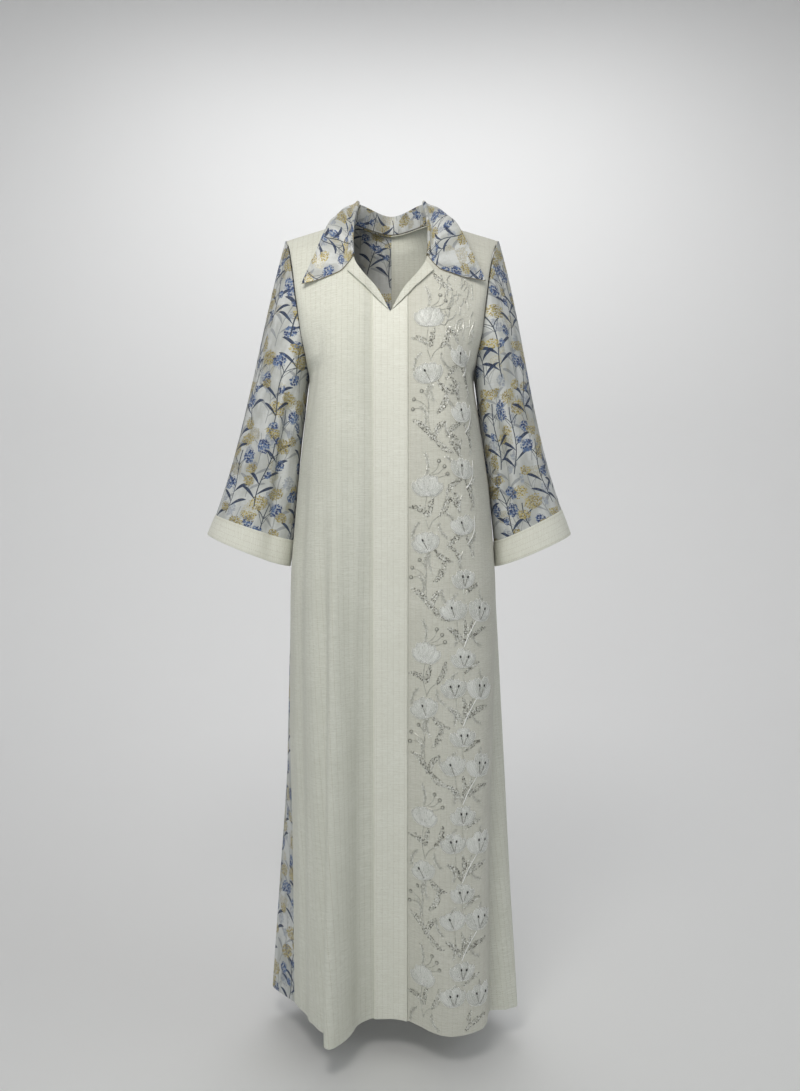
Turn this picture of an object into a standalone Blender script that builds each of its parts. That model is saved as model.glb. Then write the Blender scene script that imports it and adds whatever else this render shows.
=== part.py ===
"""A long, loose, open-necked jalabiya, as it hangs on a wearer's shoulders.

The frame's origin lies midway between the two points where the shoulder seams meet the collar.
+Z is up and the front of the garment faces -Y. The wearer's right is at -X.
Every piece of cloth is a wall of its own, with a hairline gap to its neighbour at each seam.
"""
from collections import namedtuple
from functools import lru_cache
import math

import bmesh
import bpy
from mathutils import Vector
from mathutils.bvhtree import BVHTree
from mathutils.geometry import delaunay_2d_cdt
import numpy as np

NAME = "jalabiya"

# Driving dimensions, in metres
WALL = 0.0016  # one layer of the crinkled cloth with its turnings
BAND_WALL = 0.0024  # the cuffs and the placket are two layers
SEAM_GAP = 0.0003
LENGTH = 1.394  # from the neck point straight down to the hem
UNDERARM = -0.280  # height of the lowest point of the armhole
SHOULDER_DROP = 0.034  # how far the shoulder seam falls to its outer end
NECK_HALF = 0.072  # half the neck opening, measured at the shoulder seams
V_POINT = -0.186  # height of the lowest point of the neck opening
NOTCH = -0.088  # height where the collar ends and the revers starts
NOTCH_SHARE = 0.36  # and about how far across a front that is
PLACKET_HALF = 0.0292
PLACKET_LIFT = 0.0010  # clearance of the placket over the fronts
PLACKET_CUT = 0.0016  # how far its notched top stops below the revers
SEAM_SHARE = SEAM_GAP / 2 / 0.17  # half a seam gap, as a share of a panel about 0.17 wide

RIGHT, LEFT = -1, 1  # the wearer's sides, as signs of X
SIDE_NAME = {RIGHT: "right", LEFT: "left"}

# A lengthwise row of the fronts: how far it lies above the hem along the cloth, its height, and in
# plan the centre, the placket's edge, the inner slope, crest and outer foot of the long front fold,
# and the side seam. Above the underarm the height is a share of the way to the shoulder seam, and
# the last point is the front edge of the armhole.
Front = namedtuple(
    "Front", "up height centre_y edge_y slope_x slope_y crest_x crest_y foot_x foot_y side_x side_y"
)
FRONT_KNOTS = (0.0, 0.16, 0.33, 0.53, 0.76, 1.0)
FRONT_BODY = {
    RIGHT: (
        Front(0.000, -LENGTH, -0.066, -0.068, 0.060, -0.108, 0.0986, -0.1475, 0.135, -0.076, 0.1740, -0.020),
        Front(0.284, -1.110, -0.084, -0.087, 0.058, -0.116, 0.0955, -0.1420, 0.136, -0.088, 0.1765, -0.018),
        Front(0.520, -0.874, -0.097, -0.100, 0.056, -0.121, 0.0925, -0.1370, 0.138, -0.094, 0.1820, -0.012),
        Front(0.727, -0.667, -0.108, -0.110, 0.055, -0.124, 0.0900, -0.1330, 0.139, -0.096, 0.1800, -0.005),
        Front(0.894, -0.500, -0.115, -0.117, 0.053, -0.126, 0.0870, -0.1310, 0.133, -0.096, 0.1690, -0.003),
        Front(1.034, -0.360, -0.119, -0.121, 0.051, -0.128, 0.0840, -0.1310, 0.124, -0.098, 0.1540, -0.002),
        Front(1.114, UNDERARM, -0.119, -0.121, 0.050, -0.128, 0.0800, -0.1300, 0.119, -0.098, 0.1455, 0.000),
    ),
    LEFT: (
        Front(0.000, -LENGTH, -0.066, -0.0735, 0.056, -0.096, 0.1030, -0.1190, 0.152, -0.094, 0.1726, -0.046),
        Front(0.284, -1.110, -0.084, -0.088, 0.055, -0.105, 0.1000, -0.1210, 0.150, -0.098, 0.1740, -0.040),
        Front(0.520, -0.874, -0.097, -0.100, 0.054, -0.112, 0.0980, -0.1240, 0.150, -0.100, 0.1810, -0.030),
        Front(0.727, -0.667, -0.108, -0.110, 0.054, -0.119, 0.0950, -0.1270, 0.149, -0.100, 0.1860, -0.015),
        Front(0.894, -0.500, -0.115, -0.117, 0.052, -0.124, 0.0910, -0.1290, 0.142, -0.098, 0.1765, -0.006),
        Front(1.034, -0.360, -0.119, -0.121, 0.051, -0.127, 0.0870, -0.1300, 0.130, -0.098, 0.1580, -0.003),
        Front(1.114, UNDERARM, -0.119, -0.121, 0.050, -0.128, 0.0820, -0.1300, 0.122, -0.098, 0.1475, 0.000),
    ),
}
FRONT_YOKE = {
    RIGHT: (
        Front(1.142, 0.10, -0.118, -0.120, 0.049, -0.127, 0.0790, -0.1290, 0.116, -0.108, 0.1465, -0.040),
        Front(1.192, 0.28, -0.112, -0.114, 0.048, -0.121, 0.0790, -0.1220, 0.118, -0.107, 0.1535, -0.066),
        Front(1.255, 0.50, -0.098, -0.100, 0.050, -0.106, 0.0830, -0.1050, 0.127, -0.092, 0.1610, -0.068),
        Front(1.318, 0.72, -0.078, -0.080, 0.052, -0.085, 0.0880, -0.0820, 0.135, -0.070, 0.1690, -0.055),
        Front(1.368, 0.88, -0.055, -0.056, 0.055, -0.058, 0.0920, -0.0530, 0.140, -0.045, 0.1765, -0.035),
        Front(1.435, 1.00, 0.000, 0.000, 0.060, 0.000, 0.0980, 0.0000, 0.144, 0.000, 0.1845, 0.000),
    ),
    LEFT: (
        Front(1.142, 0.10, -0.118, -0.120, 0.049, -0.127, 0.0800, -0.1290, 0.118, -0.108, 0.1485, -0.040),
        Front(1.192, 0.28, -0.112, -0.114, 0.048, -0.121, 0.0800, -0.1220, 0.120, -0.107, 0.1565, -0.066),
        Front(1.255, 0.50, -0.098, -0.100, 0.050, -0.106, 0.0840, -0.1050, 0.128, -0.092, 0.1630, -0.068),
        Front(1.318, 0.72, -0.078, -0.080, 0.052, -0.085, 0.0900, -0.0820, 0.137, -0.070, 0.1710, -0.055),
        Front(1.368, 0.88, -0.055, -0.056, 0.055, -0.058, 0.0940, -0.0530, 0.143, -0.045, 0.1800, -0.035),
        Front(1.435, 1.00, 0.000, 0.000, 0.060, 0.000, 0.1000, 0.0000, 0.148, 0.000, 0.1890, 0.000),
    ),
}

# The same for the backs: the centre seam, the crest of the long back fold, the hollow beside it, the
# flare next to the side seam, and above the underarm how far back the armhole's edge lies.
Back = namedtuple("Back", "centre_y crest_x crest_y hollow_x hollow_y flare_x flare_y arm_y")
BACK_KNOTS = (0.0, 0.35, 0.62, 0.85, 1.0)
BACK_BODY = {
    RIGHT: (
        Back(0.108, 0.098, 0.142, 0.170, 0.075, 0.221, 0.034, None),
        Back(0.108, 0.094, 0.136, 0.160, 0.080, 0.2020, 0.038, None),
        Back(0.107, 0.090, 0.130, 0.152, 0.084, 0.1905, 0.040, None),
        Back(0.105, 0.086, 0.124, 0.146, 0.086, 0.178, 0.044, None),
        Back(0.102, 0.082, 0.118, 0.138, 0.086, 0.166, 0.044, None),
        Back(0.098, 0.079, 0.112, 0.128, 0.084, 0.151, 0.042, None),
        Back(0.096, 0.077, 0.108, 0.122, 0.082, 0.142, 0.040, None),
    ),
    LEFT: (
        Back(0.108, 0.105, 0.135, 0.185, 0.050, 0.225, -0.030, None),
        Back(0.108, 0.100, 0.131, 0.176, 0.062, 0.213, -0.012, None),
        Back(0.107, 0.095, 0.127, 0.166, 0.072, 0.2015, 0.005, None),
        Back(0.105, 0.090, 0.122, 0.156, 0.080, 0.190, 0.022, None),
        Back(0.102, 0.085, 0.117, 0.144, 0.084, 0.174, 0.036, None),
        Back(0.098, 0.081, 0.112, 0.131, 0.084, 0.155, 0.042, None),
        Back(0.096, 0.078, 0.108, 0.124, 0.082, 0.144, 0.040, None),
    ),
}
BACK_YOKE = (
    Back(0.094, 0.077, 0.105, 0.118, 0.084, 0.138, 0.062, 0.042),
    Back(0.090, 0.077, 0.099, 0.118, 0.089, 0.140, 0.080, 0.068),
    Back(0.084, 0.078, 0.092, 0.120, 0.088, 0.146, 0.082, 0.070),
    Back(0.076, 0.080, 0.080, 0.124, 0.077, 0.152, 0.070, 0.058),
    Back(0.068, 0.082, 0.058, 0.128, 0.054, 0.157, 0.047, 0.037),
    Back(0.058, 0.082, 0.002, 0.134, 0.000, 0.162, 0.000, 0.000),
)

# The neck edge of a front, from the lowest point of the V up to the shoulder seam
Neck = namedtuple("Neck", "height x")
NECKLINE = (
    Neck(V_POINT, 0.0002),
    Neck(-0.143, 0.0240),
    Neck(-0.119, 0.0455),
    Neck(-0.094, 0.0600),
    Neck(-0.040, 0.0680),
    Neck(0.000, NECK_HALF),
)

# The revers lies on the front, between the neck edge and a straight outer edge
REVERS_TIP = 0.0055  # where its point stops short of the lowest point of the V
REVERS_OUTER_X, REVERS_OUTER_Z = 0.0720, -0.1160
REVERS_LIFT = 0.0011  # clearance at the roll
REVERS_RISE = 0.0018  # how much more the outer edge stands away

# A section of the collar at a share of the way round the neck edge, from its end at the revers (0)
# past the shoulder seam to the centre back (1): where its roll stands from the neck edge, and where
# the middle and the edge of the leaf lie, in x (outwards), y and z
Collar = namedtuple("Collar", "share roll middle edge")
COLLAR_ROLL = 0.0028  # radius of the fold at the top of the collar
STAND_POINTS, ROLL_POINTS = 2, 6
LEAF_SHARES = (0.14, 0.30, 0.48, 0.66, 0.84, 1.0)
COLLAR_LIFT = 0.0016  # clearance of the leaf over the shoulders and chest
COLLAR = {
    RIGHT: (
        Collar(0.00, (0.0005, -0.0060, 0.0030), (0.083, -0.094, -0.118), (0.1490, -0.092, -0.136)),
        Collar(0.22, (-0.0050, -0.0060, 0.0140), (0.088, -0.083, -0.074), (0.1290, -0.082, -0.086)),
        Collar(0.48, (-0.0155, -0.0030, 0.0330), (0.078, -0.020, 0.020), (0.0960, -0.030, -0.004)),
        Collar(0.75, (-0.0080, 0.0030, 0.0360), (0.058, 0.058, 0.022), (0.0700, 0.074, -0.020)),
        Collar(1.00, (0.0000, 0.0060, 0.0360), (0.000, 0.084, 0.020), (0.0000, 0.101, -0.024)),
    ),
    LEFT: (
        Collar(0.00, (0.0005, -0.0060, 0.0030), (0.083, -0.094, -0.114), (0.1600, -0.088, -0.130)),
        Collar(0.22, (-0.0050, -0.0060, 0.0140), (0.090, -0.083, -0.070), (0.1380, -0.080, -0.080)),
        Collar(0.48, (-0.0155, -0.0030, 0.0330), (0.079, -0.020, 0.020), (0.1000, -0.030, -0.004)),
        Collar(0.75, (-0.0080, 0.0030, 0.0360), (0.058, 0.058, 0.022), (0.0700, 0.074, -0.020)),
        Collar(1.00, (0.0000, 0.0060, 0.0360), (0.000, 0.084, 0.020), (0.0000, 0.101, -0.024)),
    ),
}

# The rings that a sleeve ends in and its cuff hangs to: the point nearest the body, the point
# furthest from it (x outwards and z) and half the depth from front to back
Ring = namedtuple("Ring", "inner_x inner_z outer_x outer_z half_depth centre_y")
SLEEVE_END = {
    RIGHT: Ring(0.1800, -0.5650, 0.3145, -0.5200, 0.060, 0.004),
    LEFT: Ring(0.1900, -0.5670, 0.3070, -0.5100, 0.062, 0.010),
}
CUFF_END = {
    RIGHT: Ring(0.1855, -0.6116, 0.3291, -0.5541, 0.065, 0.004),
    LEFT: Ring(0.1910, -0.6120, 0.3233, -0.5541, 0.067, 0.010),
}
CUFF_PROUD = 0.0004  # how far the cuff's faces stand past the sleeve's, inside and out

# Long soft folds pressed into a sleeve: the angle round it from the underarm by way of the front,
# how wide and deep the fold is, and where down the sleeve it starts and ends
SleeveFold = namedtuple("SleeveFold", "angle width depth start end")
SLEEVE_FOLDS = {
    RIGHT: (
        SleeveFold(0.85, 0.34, 0.0090, 0.20, 1.05),
        SleeveFold(1.95, 0.30, 0.0050, 0.30, 0.95),
        SleeveFold(4.10, 0.36, 0.0080, 0.25, 1.00),
        SleeveFold(5.20, 0.32, 0.0060, 0.30, 1.05),
    ),
    LEFT: (
        SleeveFold(0.95, 0.32, 0.0085, 0.12, 0.85),
        SleeveFold(1.80, 0.30, 0.0055, 0.30, 1.05),
        SleeveFold(4.30, 0.36, 0.0075, 0.20, 1.00),
        SleeveFold(5.30, 0.32, 0.0060, 0.30, 1.00),
    ),
}

# The raised flowers sewn along the left front, in upright rows that repeat: the height of the first,
# the pitch, how far each repeat drifts outwards, and each flower's distance from the centre of the
# body, its drop below the first and its size
FLOWER_WIDTH, FLOWER_HEIGHT, FLOWER_RAISE = 0.050, 0.036, 0.0030
FLOWER_CLEAR_X, FLOWER_CLEAR_Z = 0.53, 0.72  # plain points keep this far off its centre, in its sizes
UNROLLED = 0.20  # width that the left front is laid out flat at
Spray = namedtuple("Spray", "top pitch drift repeats offsets")
Offset = namedtuple("Offset", "x drop scale")
SPRAYS = (
    Spray(-0.196, 0.2760, -0.0025, 5, (Offset(0.063, 0.000, 1.00), Offset(0.061, 0.0925, 1.00))),
    Spray(-0.2585, 0.0925, 0.0015, 4, (Offset(0.116, 0.000, 0.84),)),
    Spray(-0.6255, 0.1316, 0.0, 6, (Offset(0.121, 0.000, 0.80),)),
    Spray(-0.676, 0.1300, 0.0, 6, (Offset(0.108, 0.000, 0.82), Offset(0.152, 0.003, 0.82))),
)

# How finely the walls are cut
BODY_CELLS, YOKE_CELLS = 20, 13
FRONT_COLUMNS = (0.0, 0.08, 0.16, 0.24, 0.33, 0.40, 0.465, 0.53, 0.60, 0.68, 0.76, 0.84, 0.92, 1.0)
BACK_COLUMNS = (0.0, 0.12, 0.24, 0.35, 0.44, 0.53, 0.62, 0.70, 0.78, 0.85, 0.92, 1.0)
SLEEVE_CELLS, CUFF_CELLS = 15, 2

CREAM = (0.80, 0.79, 0.71)
GROUND = (0.70, 0.69, 0.61)
PRINT = (0.52, 0.55, 0.58)
SHADES = {
    "front_right": CREAM,
    "front_left": GROUND,
    "placket": (0.82, 0.81, 0.74),
    "back_right": PRINT,
    "back_left": CREAM,
    "revers_right": CREAM,
    "revers_left": CREAM,
    "collar": PRINT,
    "sleeve_right": PRINT,
    "sleeve_left": PRINT,
    "cuff_right": CREAM,
    "cuff_left": CREAM,
}


def unit(v):
    """A vector's direction."""
    v = np.asarray(v, float)
    return v / max(np.linalg.norm(v), 1e-12)


def spline(knots, points, at, start=None, end=None):
    """A smooth curve through the points, which lie at the knots and which it never passes beyond.

    start and end are the slopes at its two ends, where they are given.
    """
    i = min(max(int(np.searchsorted(knots, at, "right")) - 1, 0), len(knots) - 2)

    def slope(j):
        if j == 0:
            return start if start is not None else (points[1] - points[0]) / (knots[1] - knots[0])
        if j == len(knots) - 1:
            return end if end is not None else (points[-1] - points[-2]) / (knots[-1] - knots[-2])
        before, after = knots[j] - knots[j - 1], knots[j + 1] - knots[j]
        fall_in = (points[j] - points[j - 1]) / before
        fall_out = (points[j + 1] - points[j]) / after
        same = fall_in * fall_out > 0
        safe_in, safe_out = np.where(same, fall_in, 1.0), np.where(same, fall_out, 1.0)
        near, far = 2 * after + before, after + 2 * before
        return np.where(same, (near + far) / (near / safe_in + far / safe_out), 0.0)

    span = knots[i + 1] - knots[i]
    t = (at - knots[i]) / span
    a, b = points[i], points[i + 1]
    return (
        a * (2 * t**3 - 3 * t**2 + 1)
        + b * (3 * t**2 - 2 * t**3)
        + slope(i) * span * (t**3 - 2 * t**2 + t)
        + slope(i + 1) * span * (t**3 - t**2)
    )


def shoulder_line(x, tip_x):
    """Height of the shoulder seam at a distance from the centre."""
    share = (x - NECK_HALF) / (tip_x - NECK_HALF)
    return -SHOULDER_DROP * max(share, 0.0)


def height_at(row, x, tip_x):
    """Height of a row of the fronts or backs at a distance from the centre."""
    if row.height <= 0:
        return row.height
    return UNDERARM + row.height * (shoulder_line(x, tip_x) - UNDERARM)


def front_section(front, back, s):
    """The point of one row of a front, s of the way from the centre to the side."""
    beyond = (front.side_x, back.arm_y) if back.arm_y is not None else (back.flare_x, back.flare_y)
    knots = (-FRONT_KNOTS[1], *FRONT_KNOTS, 2.0 - BACK_KNOTS[3])
    plan = [
        (-PLACKET_HALF, front.edge_y),
        (0.0, front.centre_y),
        (PLACKET_HALF, front.edge_y),
        (front.slope_x, front.slope_y),
        (front.crest_x, front.crest_y),
        (front.foot_x, front.foot_y),
        (front.side_x, front.side_y),
        beyond,
    ]
    return spline(knots, np.array(plan), s)


def back_section(front, back, s):
    """The point of one row of a back, s of the way from the centre to the side."""
    side_y = front.side_y if back.arm_y is None else back.arm_y
    knots = (-BACK_KNOTS[1], *BACK_KNOTS, 2.0 - FRONT_KNOTS[4])
    plan = [
        (-back.crest_x, back.crest_y),
        (0.0, back.centre_y),
        (back.crest_x, back.crest_y),
        (back.hollow_x, back.hollow_y),
        (back.flare_x, back.flare_y),
        (front.side_x, side_y),
        (front.foot_x, front.foot_y if back.arm_y is None else front.side_y),
    ]
    return spline(knots, np.array(plan), s)


def surface(side, section, s, up):
    """The outer face of the fronts or backs, s across from the centre and up along the cloth."""
    fronts = FRONT_BODY[side] + FRONT_YOKE[side]
    backs = BACK_BODY[side] + BACK_YOKE
    tip_x = fronts[-1].side_x
    knots = [row.up for row in fronts]
    nearest = int(np.searchsorted(knots, up, "right")) - 1
    low = max(min(nearest, len(knots) - 2) - 1, 0)
    high = min(low + 4, len(knots))
    points = []
    for front, back in zip(fronts[low:high], backs[low:high]):
        x, y = section(front, back, s)
        points.append(np.array((x, y, height_at(front, x, tip_x))))
    over = 1.0 if section is front_section else -1.0
    end = np.array((0.0, over, 0.0)) if high == len(knots) else None
    x, y, z = spline(knots[low:high], np.array(points), up, end=end)
    return np.array((side * x, y, z))


def normal(side, section, s, up):
    """The outward direction of the outer face."""
    d = 1e-4
    s0, s1 = max(s - d, -0.05), min(s + d, 1.0)
    u0, u1 = max(up - d, 0.0), min(up + d, FRONT_YOKE[side][-1].up)
    across = surface(side, section, s1, up) - surface(side, section, s0, up)
    along = surface(side, section, s, u1) - surface(side, section, s, u0)
    n = unit(np.cross(across, along))
    turn = side if section is front_section else -side
    return n * turn


def solve(low, high, short_of):
    """The value between low and high where short_of stops being true."""
    for _ in range(40):
        middle = (low + high) / 2
        if short_of(middle):
            low = middle
        else:
            high = middle
    return (low + high) / 2


@lru_cache
def up_at(side, section, s, z):
    """How far up the cloth a height is, along one lengthwise line."""
    top = FRONT_YOKE[side][-1].up
    return solve(0.0, top, lambda up: surface(side, section, s, up)[2] < z)


def front_place(side, x, z):
    """Where on a front (s, up) the point at a distance from the centre and a height lies."""
    s, up = 0.3, 1.2
    for _ in range(6):
        up = up_at(side, front_section, s, z)
        s = solve(0.0, 1.0, lambda share: abs(surface(side, front_section, share, up)[0]) < x)
    return s, up


@lru_cache
def row_heights(side):
    """The rows that every panel of the body is cut into, up along the cloth from hem to shoulder."""
    underarm = FRONT_BODY[side][-1].up
    top = FRONT_YOKE[side][-1].up
    rows = list(np.linspace(0.0, underarm, BODY_CELLS + 1)) + list(
        np.linspace(underarm, top, YOKE_CELLS + 1)[1:]
    )
    for s, z in ((0.0, V_POINT), (NOTCH_SHARE, NOTCH)):
        up = up_at(side, front_section, s, z)
        near = min(range(len(rows)), key=lambda i: abs(rows[i] - up))
        rows[near] = up
    return rows


@lru_cache
def neck_share(side, up):
    """How far across a front its neck edge lies in one row, or 0 below the V."""
    z = surface(side, front_section, 0.3, up)[2]
    if up <= up_at(side, front_section, 0.0, V_POINT) + 1e-6:
        return 0.0
    heights = [row.height for row in NECKLINE]
    x = float(spline(heights, np.array([row.x for row in NECKLINE]), min(z, 0.0)))
    return solve(0.0, 1.0, lambda s: abs(surface(side, front_section, s, up)[0]) < x)


def grid_faces(rows, columns, first=0, closed=False):
    """The four-sided faces between the points of a grid that is stored row by row."""
    faces = []
    for i in range(rows - 1):
        for j in range(columns if closed else columns - 1):
            k = (j + 1) % columns
            faces.append(
                (
                    first + i * columns + j,
                    first + i * columns + k,
                    first + (i + 1) * columns + k,
                    first + (i + 1) * columns + j,
                )
            )
    return faces


def grid_rim(rows, columns):
    """The places of a grid's border, in order round it."""
    bottom = list(range(columns))
    right = [i * columns + columns - 1 for i in range(1, rows)]
    top = [(rows - 1) * columns + j for j in range(columns - 2, -1, -1)]
    left = [i * columns for i in range(rows - 2, 0, -1)]
    return bottom + right + top + left


def make_object(name, points, faces, collection):
    """A named piece of the garment with its own cloth."""
    mesh = bpy.data.meshes.new(name)
    mesh.from_pydata([tuple(map(float, p)) for p in points], [], faces)
    bm = bmesh.new()
    bm.from_mesh(mesh)
    bmesh.ops.recalc_face_normals(bm, faces=bm.faces)
    bm.to_mesh(mesh)
    bm.free()
    mesh.shade_smooth()
    mesh.set_sharp_from_angle(angle=math.radians(50))
    material = bpy.data.materials.new(name)
    material.use_nodes = True
    shader = material.node_tree.nodes["Principled BSDF"]
    shader.inputs["Base Color"].default_value = (*SHADES[name], 1.0)
    shader.inputs["Roughness"].default_value = 0.85
    shader.inputs["Metallic"].default_value = 0.0
    mesh.materials.append(material)
    piece = bpy.data.objects.new(name, mesh)
    collection.objects.link(piece)
    return piece


def walled(outer, inner, rows, columns):
    """Points and faces of a wall between two grids of points."""
    points = list(outer) + list(inner)
    count = rows * columns
    faces = grid_faces(rows, columns) + grid_faces(rows, columns, first=count)
    rim = grid_rim(rows, columns)
    for a, b in zip(rim, rim[1:] + rim[:1]):
        faces.append((a, b, b + count, a + count))
    return points, faces


def tube(outer, inner, rows, columns):
    """Points and faces of a wall that closes round on itself and is open at both ends."""
    points = list(outer) + list(inner)
    count = rows * columns
    faces = grid_faces(rows, columns, closed=True) + grid_faces(rows, columns, count, closed=True)
    for row in (0, rows - 1):
        for j in range(columns):
            a = row * columns + j
            b = row * columns + (j + 1) % columns
            faces.append((a, b, b + count, a + count))
    return points, faces


def front_grid(side):
    """The outer and inner points of a front, row by row."""
    top = row_heights(side)[-1]
    outer, inner = [], []
    for up in row_heights(side):
        first = neck_share(side, up) + SEAM_SHARE
        for f in FRONT_COLUMNS:
            s = first + f * (1.0 - SEAM_SHARE - first)
            u = min(up, top - SEAM_GAP / 2)
            p, n = surface(side, front_section, s, u), normal(side, front_section, s, u)
            outer.append(p)
            inner.append(p - n * WALL)
    return outer, inner


def back_grid(side):
    """The outer and inner points of a back, row by row."""
    top = row_heights(side)[-1]
    outer, inner = [], []
    for up in row_heights(side):
        for f in BACK_COLUMNS:
            s = SEAM_SHARE + f * (1.0 - 2 * SEAM_SHARE)
            u = min(up, top - SEAM_GAP / 2)
            p, n = surface(side, back_section, s, u), normal(side, back_section, s, u)
            outer.append(p)
            inner.append(p - n * WALL)
    return outer, inner


def flower_outline():
    """Half-width 1 and height 1: a wide cup with three pointed petals, from its foot round."""
    right_side = [(0.16, -0.50), (0.70, -0.30), (0.98, 0.12), (0.90, 0.44), (0.52, 0.30), (0.34, 0.50)]
    left_side = [(-x, y) for x, y in reversed(right_side)]
    return right_side + [(0.0, 0.34)] + left_side


def flowers():
    """Every raised flower of the left front: its distance from the centre, height and size."""
    out = []
    for spray in SPRAYS:
        for i in range(spray.repeats):
            for offset in spray.offsets:
                z = spray.top - i * spray.pitch - offset.drop
                if z > -LENGTH + FLOWER_HEIGHT:
                    out.append((offset.x + i * spray.drift, z, offset.scale))
    return out


def flower_rings(size):
    """A flower's foot, shoulder and crown round its centre, each point with its height."""
    outline = np.array(flower_outline()) * (FLOWER_WIDTH / 2 * size, FLOWER_HEIGHT * size)
    rings = []
    for share, raised in ((1.0, 0.0), (0.80, 0.75)):
        rings.append([(share * x, share * y, raised * FLOWER_RAISE) for x, y in outline])
    crown = [(x * FLOWER_WIDTH * size, 0.0, FLOWER_RAISE) for x in (-0.2, 0.0, 0.2)]
    return rings, crown


def flowers_laid_flat(side):
    """Each flower's centre on the flattened front, its size, and how much that front is stretched."""
    placed = []
    for x, z, size in flowers():
        s, up = front_place(side, x, z)
        neck = neck_share(side, up)
        d = 0.01
        before = surface(side, front_section, s - d, up)
        after = surface(side, front_section, s + d, up)
        stretch = np.linalg.norm(after - before) / (2 * d) * (1.0 - neck) / UNROLLED
        placed.append((((s - neck) / (1.0 - neck) * UNROLLED, up), size, stretch))
    return placed


def clear(a, b, placed):
    """Whether the straight line between two flat points keeps off every flower."""
    for centre, size, stretch in placed:
        reach = (FLOWER_WIDTH * size / 2 / stretch, FLOWER_HEIGHT * size / 2)
        low = [min(a[k], b[k]) - centre[k] < reach[k] for k in (0, 1)]
        high = [max(a[k], b[k]) - centre[k] > -reach[k] for k in (0, 1)]
        if all(low + high):
            return False
    return True


def embroidered(side):
    """A front with thick flowers raised out of its outer face over a plain inside.

    It is laid out flat, with the neck edge straightened, and cut into triangles between the points
    of the plain grid and the flowers' outlines. It returns outer points, inner points, faces and
    the border's places in order.
    """
    columns = len(FRONT_COLUMNS)
    flat = [(f * UNROLLED, up) for up in row_heights(side) for f in FRONT_COLUMNS]
    rim = grid_rim(len(row_heights(side)), columns)
    on_rim = set(rim)
    placed = flowers_laid_flat(side)
    keep, heights, index = [], [], {}
    for i, (a, b) in enumerate(flat):
        near = any(
            abs(a - centre[0]) < FLOWER_WIDTH * size * FLOWER_CLEAR_X / stretch
            and abs(b - centre[1]) < FLOWER_HEIGHT * size * FLOWER_CLEAR_Z
            for centre, size, stretch in placed
        )
        if i in on_rim or not near:
            index[i] = len(keep)
            keep.append((a, b))
            heights.append(0.0)
    edges = [(index[a], index[b]) for a, b in zip(rim, rim[1:] + rim[:1])]
    for a in index:
        for b in (a + 1, a + columns):
            beside = b % columns > 0 or b == a + columns
            if beside and b in index and not {a, b} <= on_rim and clear(flat[a], flat[b], placed):
                edges.append((index[a], index[b]))
    for (cx, cy), size, stretch in placed:
        rings, crown = flower_rings(size)
        for ring in rings:
            first = len(keep)
            for x, y, raised in ring:
                keep.append((cx + x / stretch, cy + y))
                heights.append(raised)
            edges += [(first + k, first + (k + 1) % len(ring)) for k in range(len(ring))]
        for x, y, raised in crown:
            keep.append((cx + x / stretch, cy + y))
            heights.append(raised)
    found, _, faces, origins, _, _ = delaunay_2d_cdt([Vector(p) for p in keep], edges, [], 0, 1e-6)
    outer, inner, new_place = [], [], {}
    for new, ((a, b), origin) in enumerate(zip(found, origins)):
        raised = max([heights[k] for k in origin], default=0.0)
        up = min(b, row_heights(side)[-1] - SEAM_GAP / 2)
        first = neck_share(side, b) + SEAM_SHARE
        s = first + a / UNROLLED * (1.0 - SEAM_SHARE - first)
        p, n = surface(side, front_section, s, up), normal(side, front_section, s, up)
        outer.append(p + n * raised)
        inner.append(p - n * WALL)
        for k in origin:
            new_place[k] = new
    return outer, inner, [tuple(face) for face in faces], [new_place[index[i]] for i in rim]


def make_fronts(collection):
    """Both fronts. The left one carries the raised flowers on its outer face only."""
    plain = {side: front_grid(side) for side in (RIGHT, LEFT)}
    points, faces = walled(*plain[RIGHT], len(row_heights(RIGHT)), len(FRONT_COLUMNS))
    make_object("front_right", points, faces, collection)
    outer, inner, faces, border = embroidered(LEFT)
    count = len(outer)
    faces += [tuple(v + count for v in face) for face in faces]
    for a, b in zip(border, border[1:] + border[:1]):
        faces.append((a, b, b + count, a + count))
    make_object("front_left", outer + inner, faces, collection)
    return {side: plain[side][0] for side in (RIGHT, LEFT)}


def make_backs(collection):
    """Both halves of the back, which meet at a centre seam."""
    outers = {}
    for side in (RIGHT, LEFT):
        outer, inner = back_grid(side)
        points, faces = walled(outer, inner, len(row_heights(side)), len(BACK_COLUMNS))
        make_object("back_" + SIDE_NAME[side], points, faces, collection)
        outers[side] = outer
    return outers


def make_placket(collection):
    """The straight band down the centre front, laid on the points of both fronts."""
    shares = [FRONT_COLUMNS[2], FRONT_COLUMNS[1], 0.0]
    across = [(RIGHT, s) for s in shares] + [(LEFT, s) for s in reversed(shares[:-1])]
    slope = (REVERS_OUTER_Z - V_POINT) / REVERS_OUTER_X
    whole = [up for up in row_heights(RIGHT) if up < up_at(RIGHT, front_section, 0.0, V_POINT) - 0.01]
    rows = [(up, 0.0) for up in whole] + [(whole[-1], share) for share in (1 / 3, 2 / 3, 1.0)]
    outer, inner = [], []
    for row, share in rows:
        for side, s in across:
            x = PLACKET_HALF * s / FRONT_COLUMNS[2]
            top = up_at(side, front_section, s, V_POINT + slope * x - PLACKET_CUT)
            up = row + share * (top - row)
            p, n = surface(side, front_section, s, up), normal(side, front_section, s, up)
            outer.append(p + n * (PLACKET_LIFT + BAND_WALL))
            inner.append(p + n * PLACKET_LIFT)
    points, faces = walled(outer, inner, len(rows), len(across))
    make_object("placket", points, faces, collection)


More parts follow.
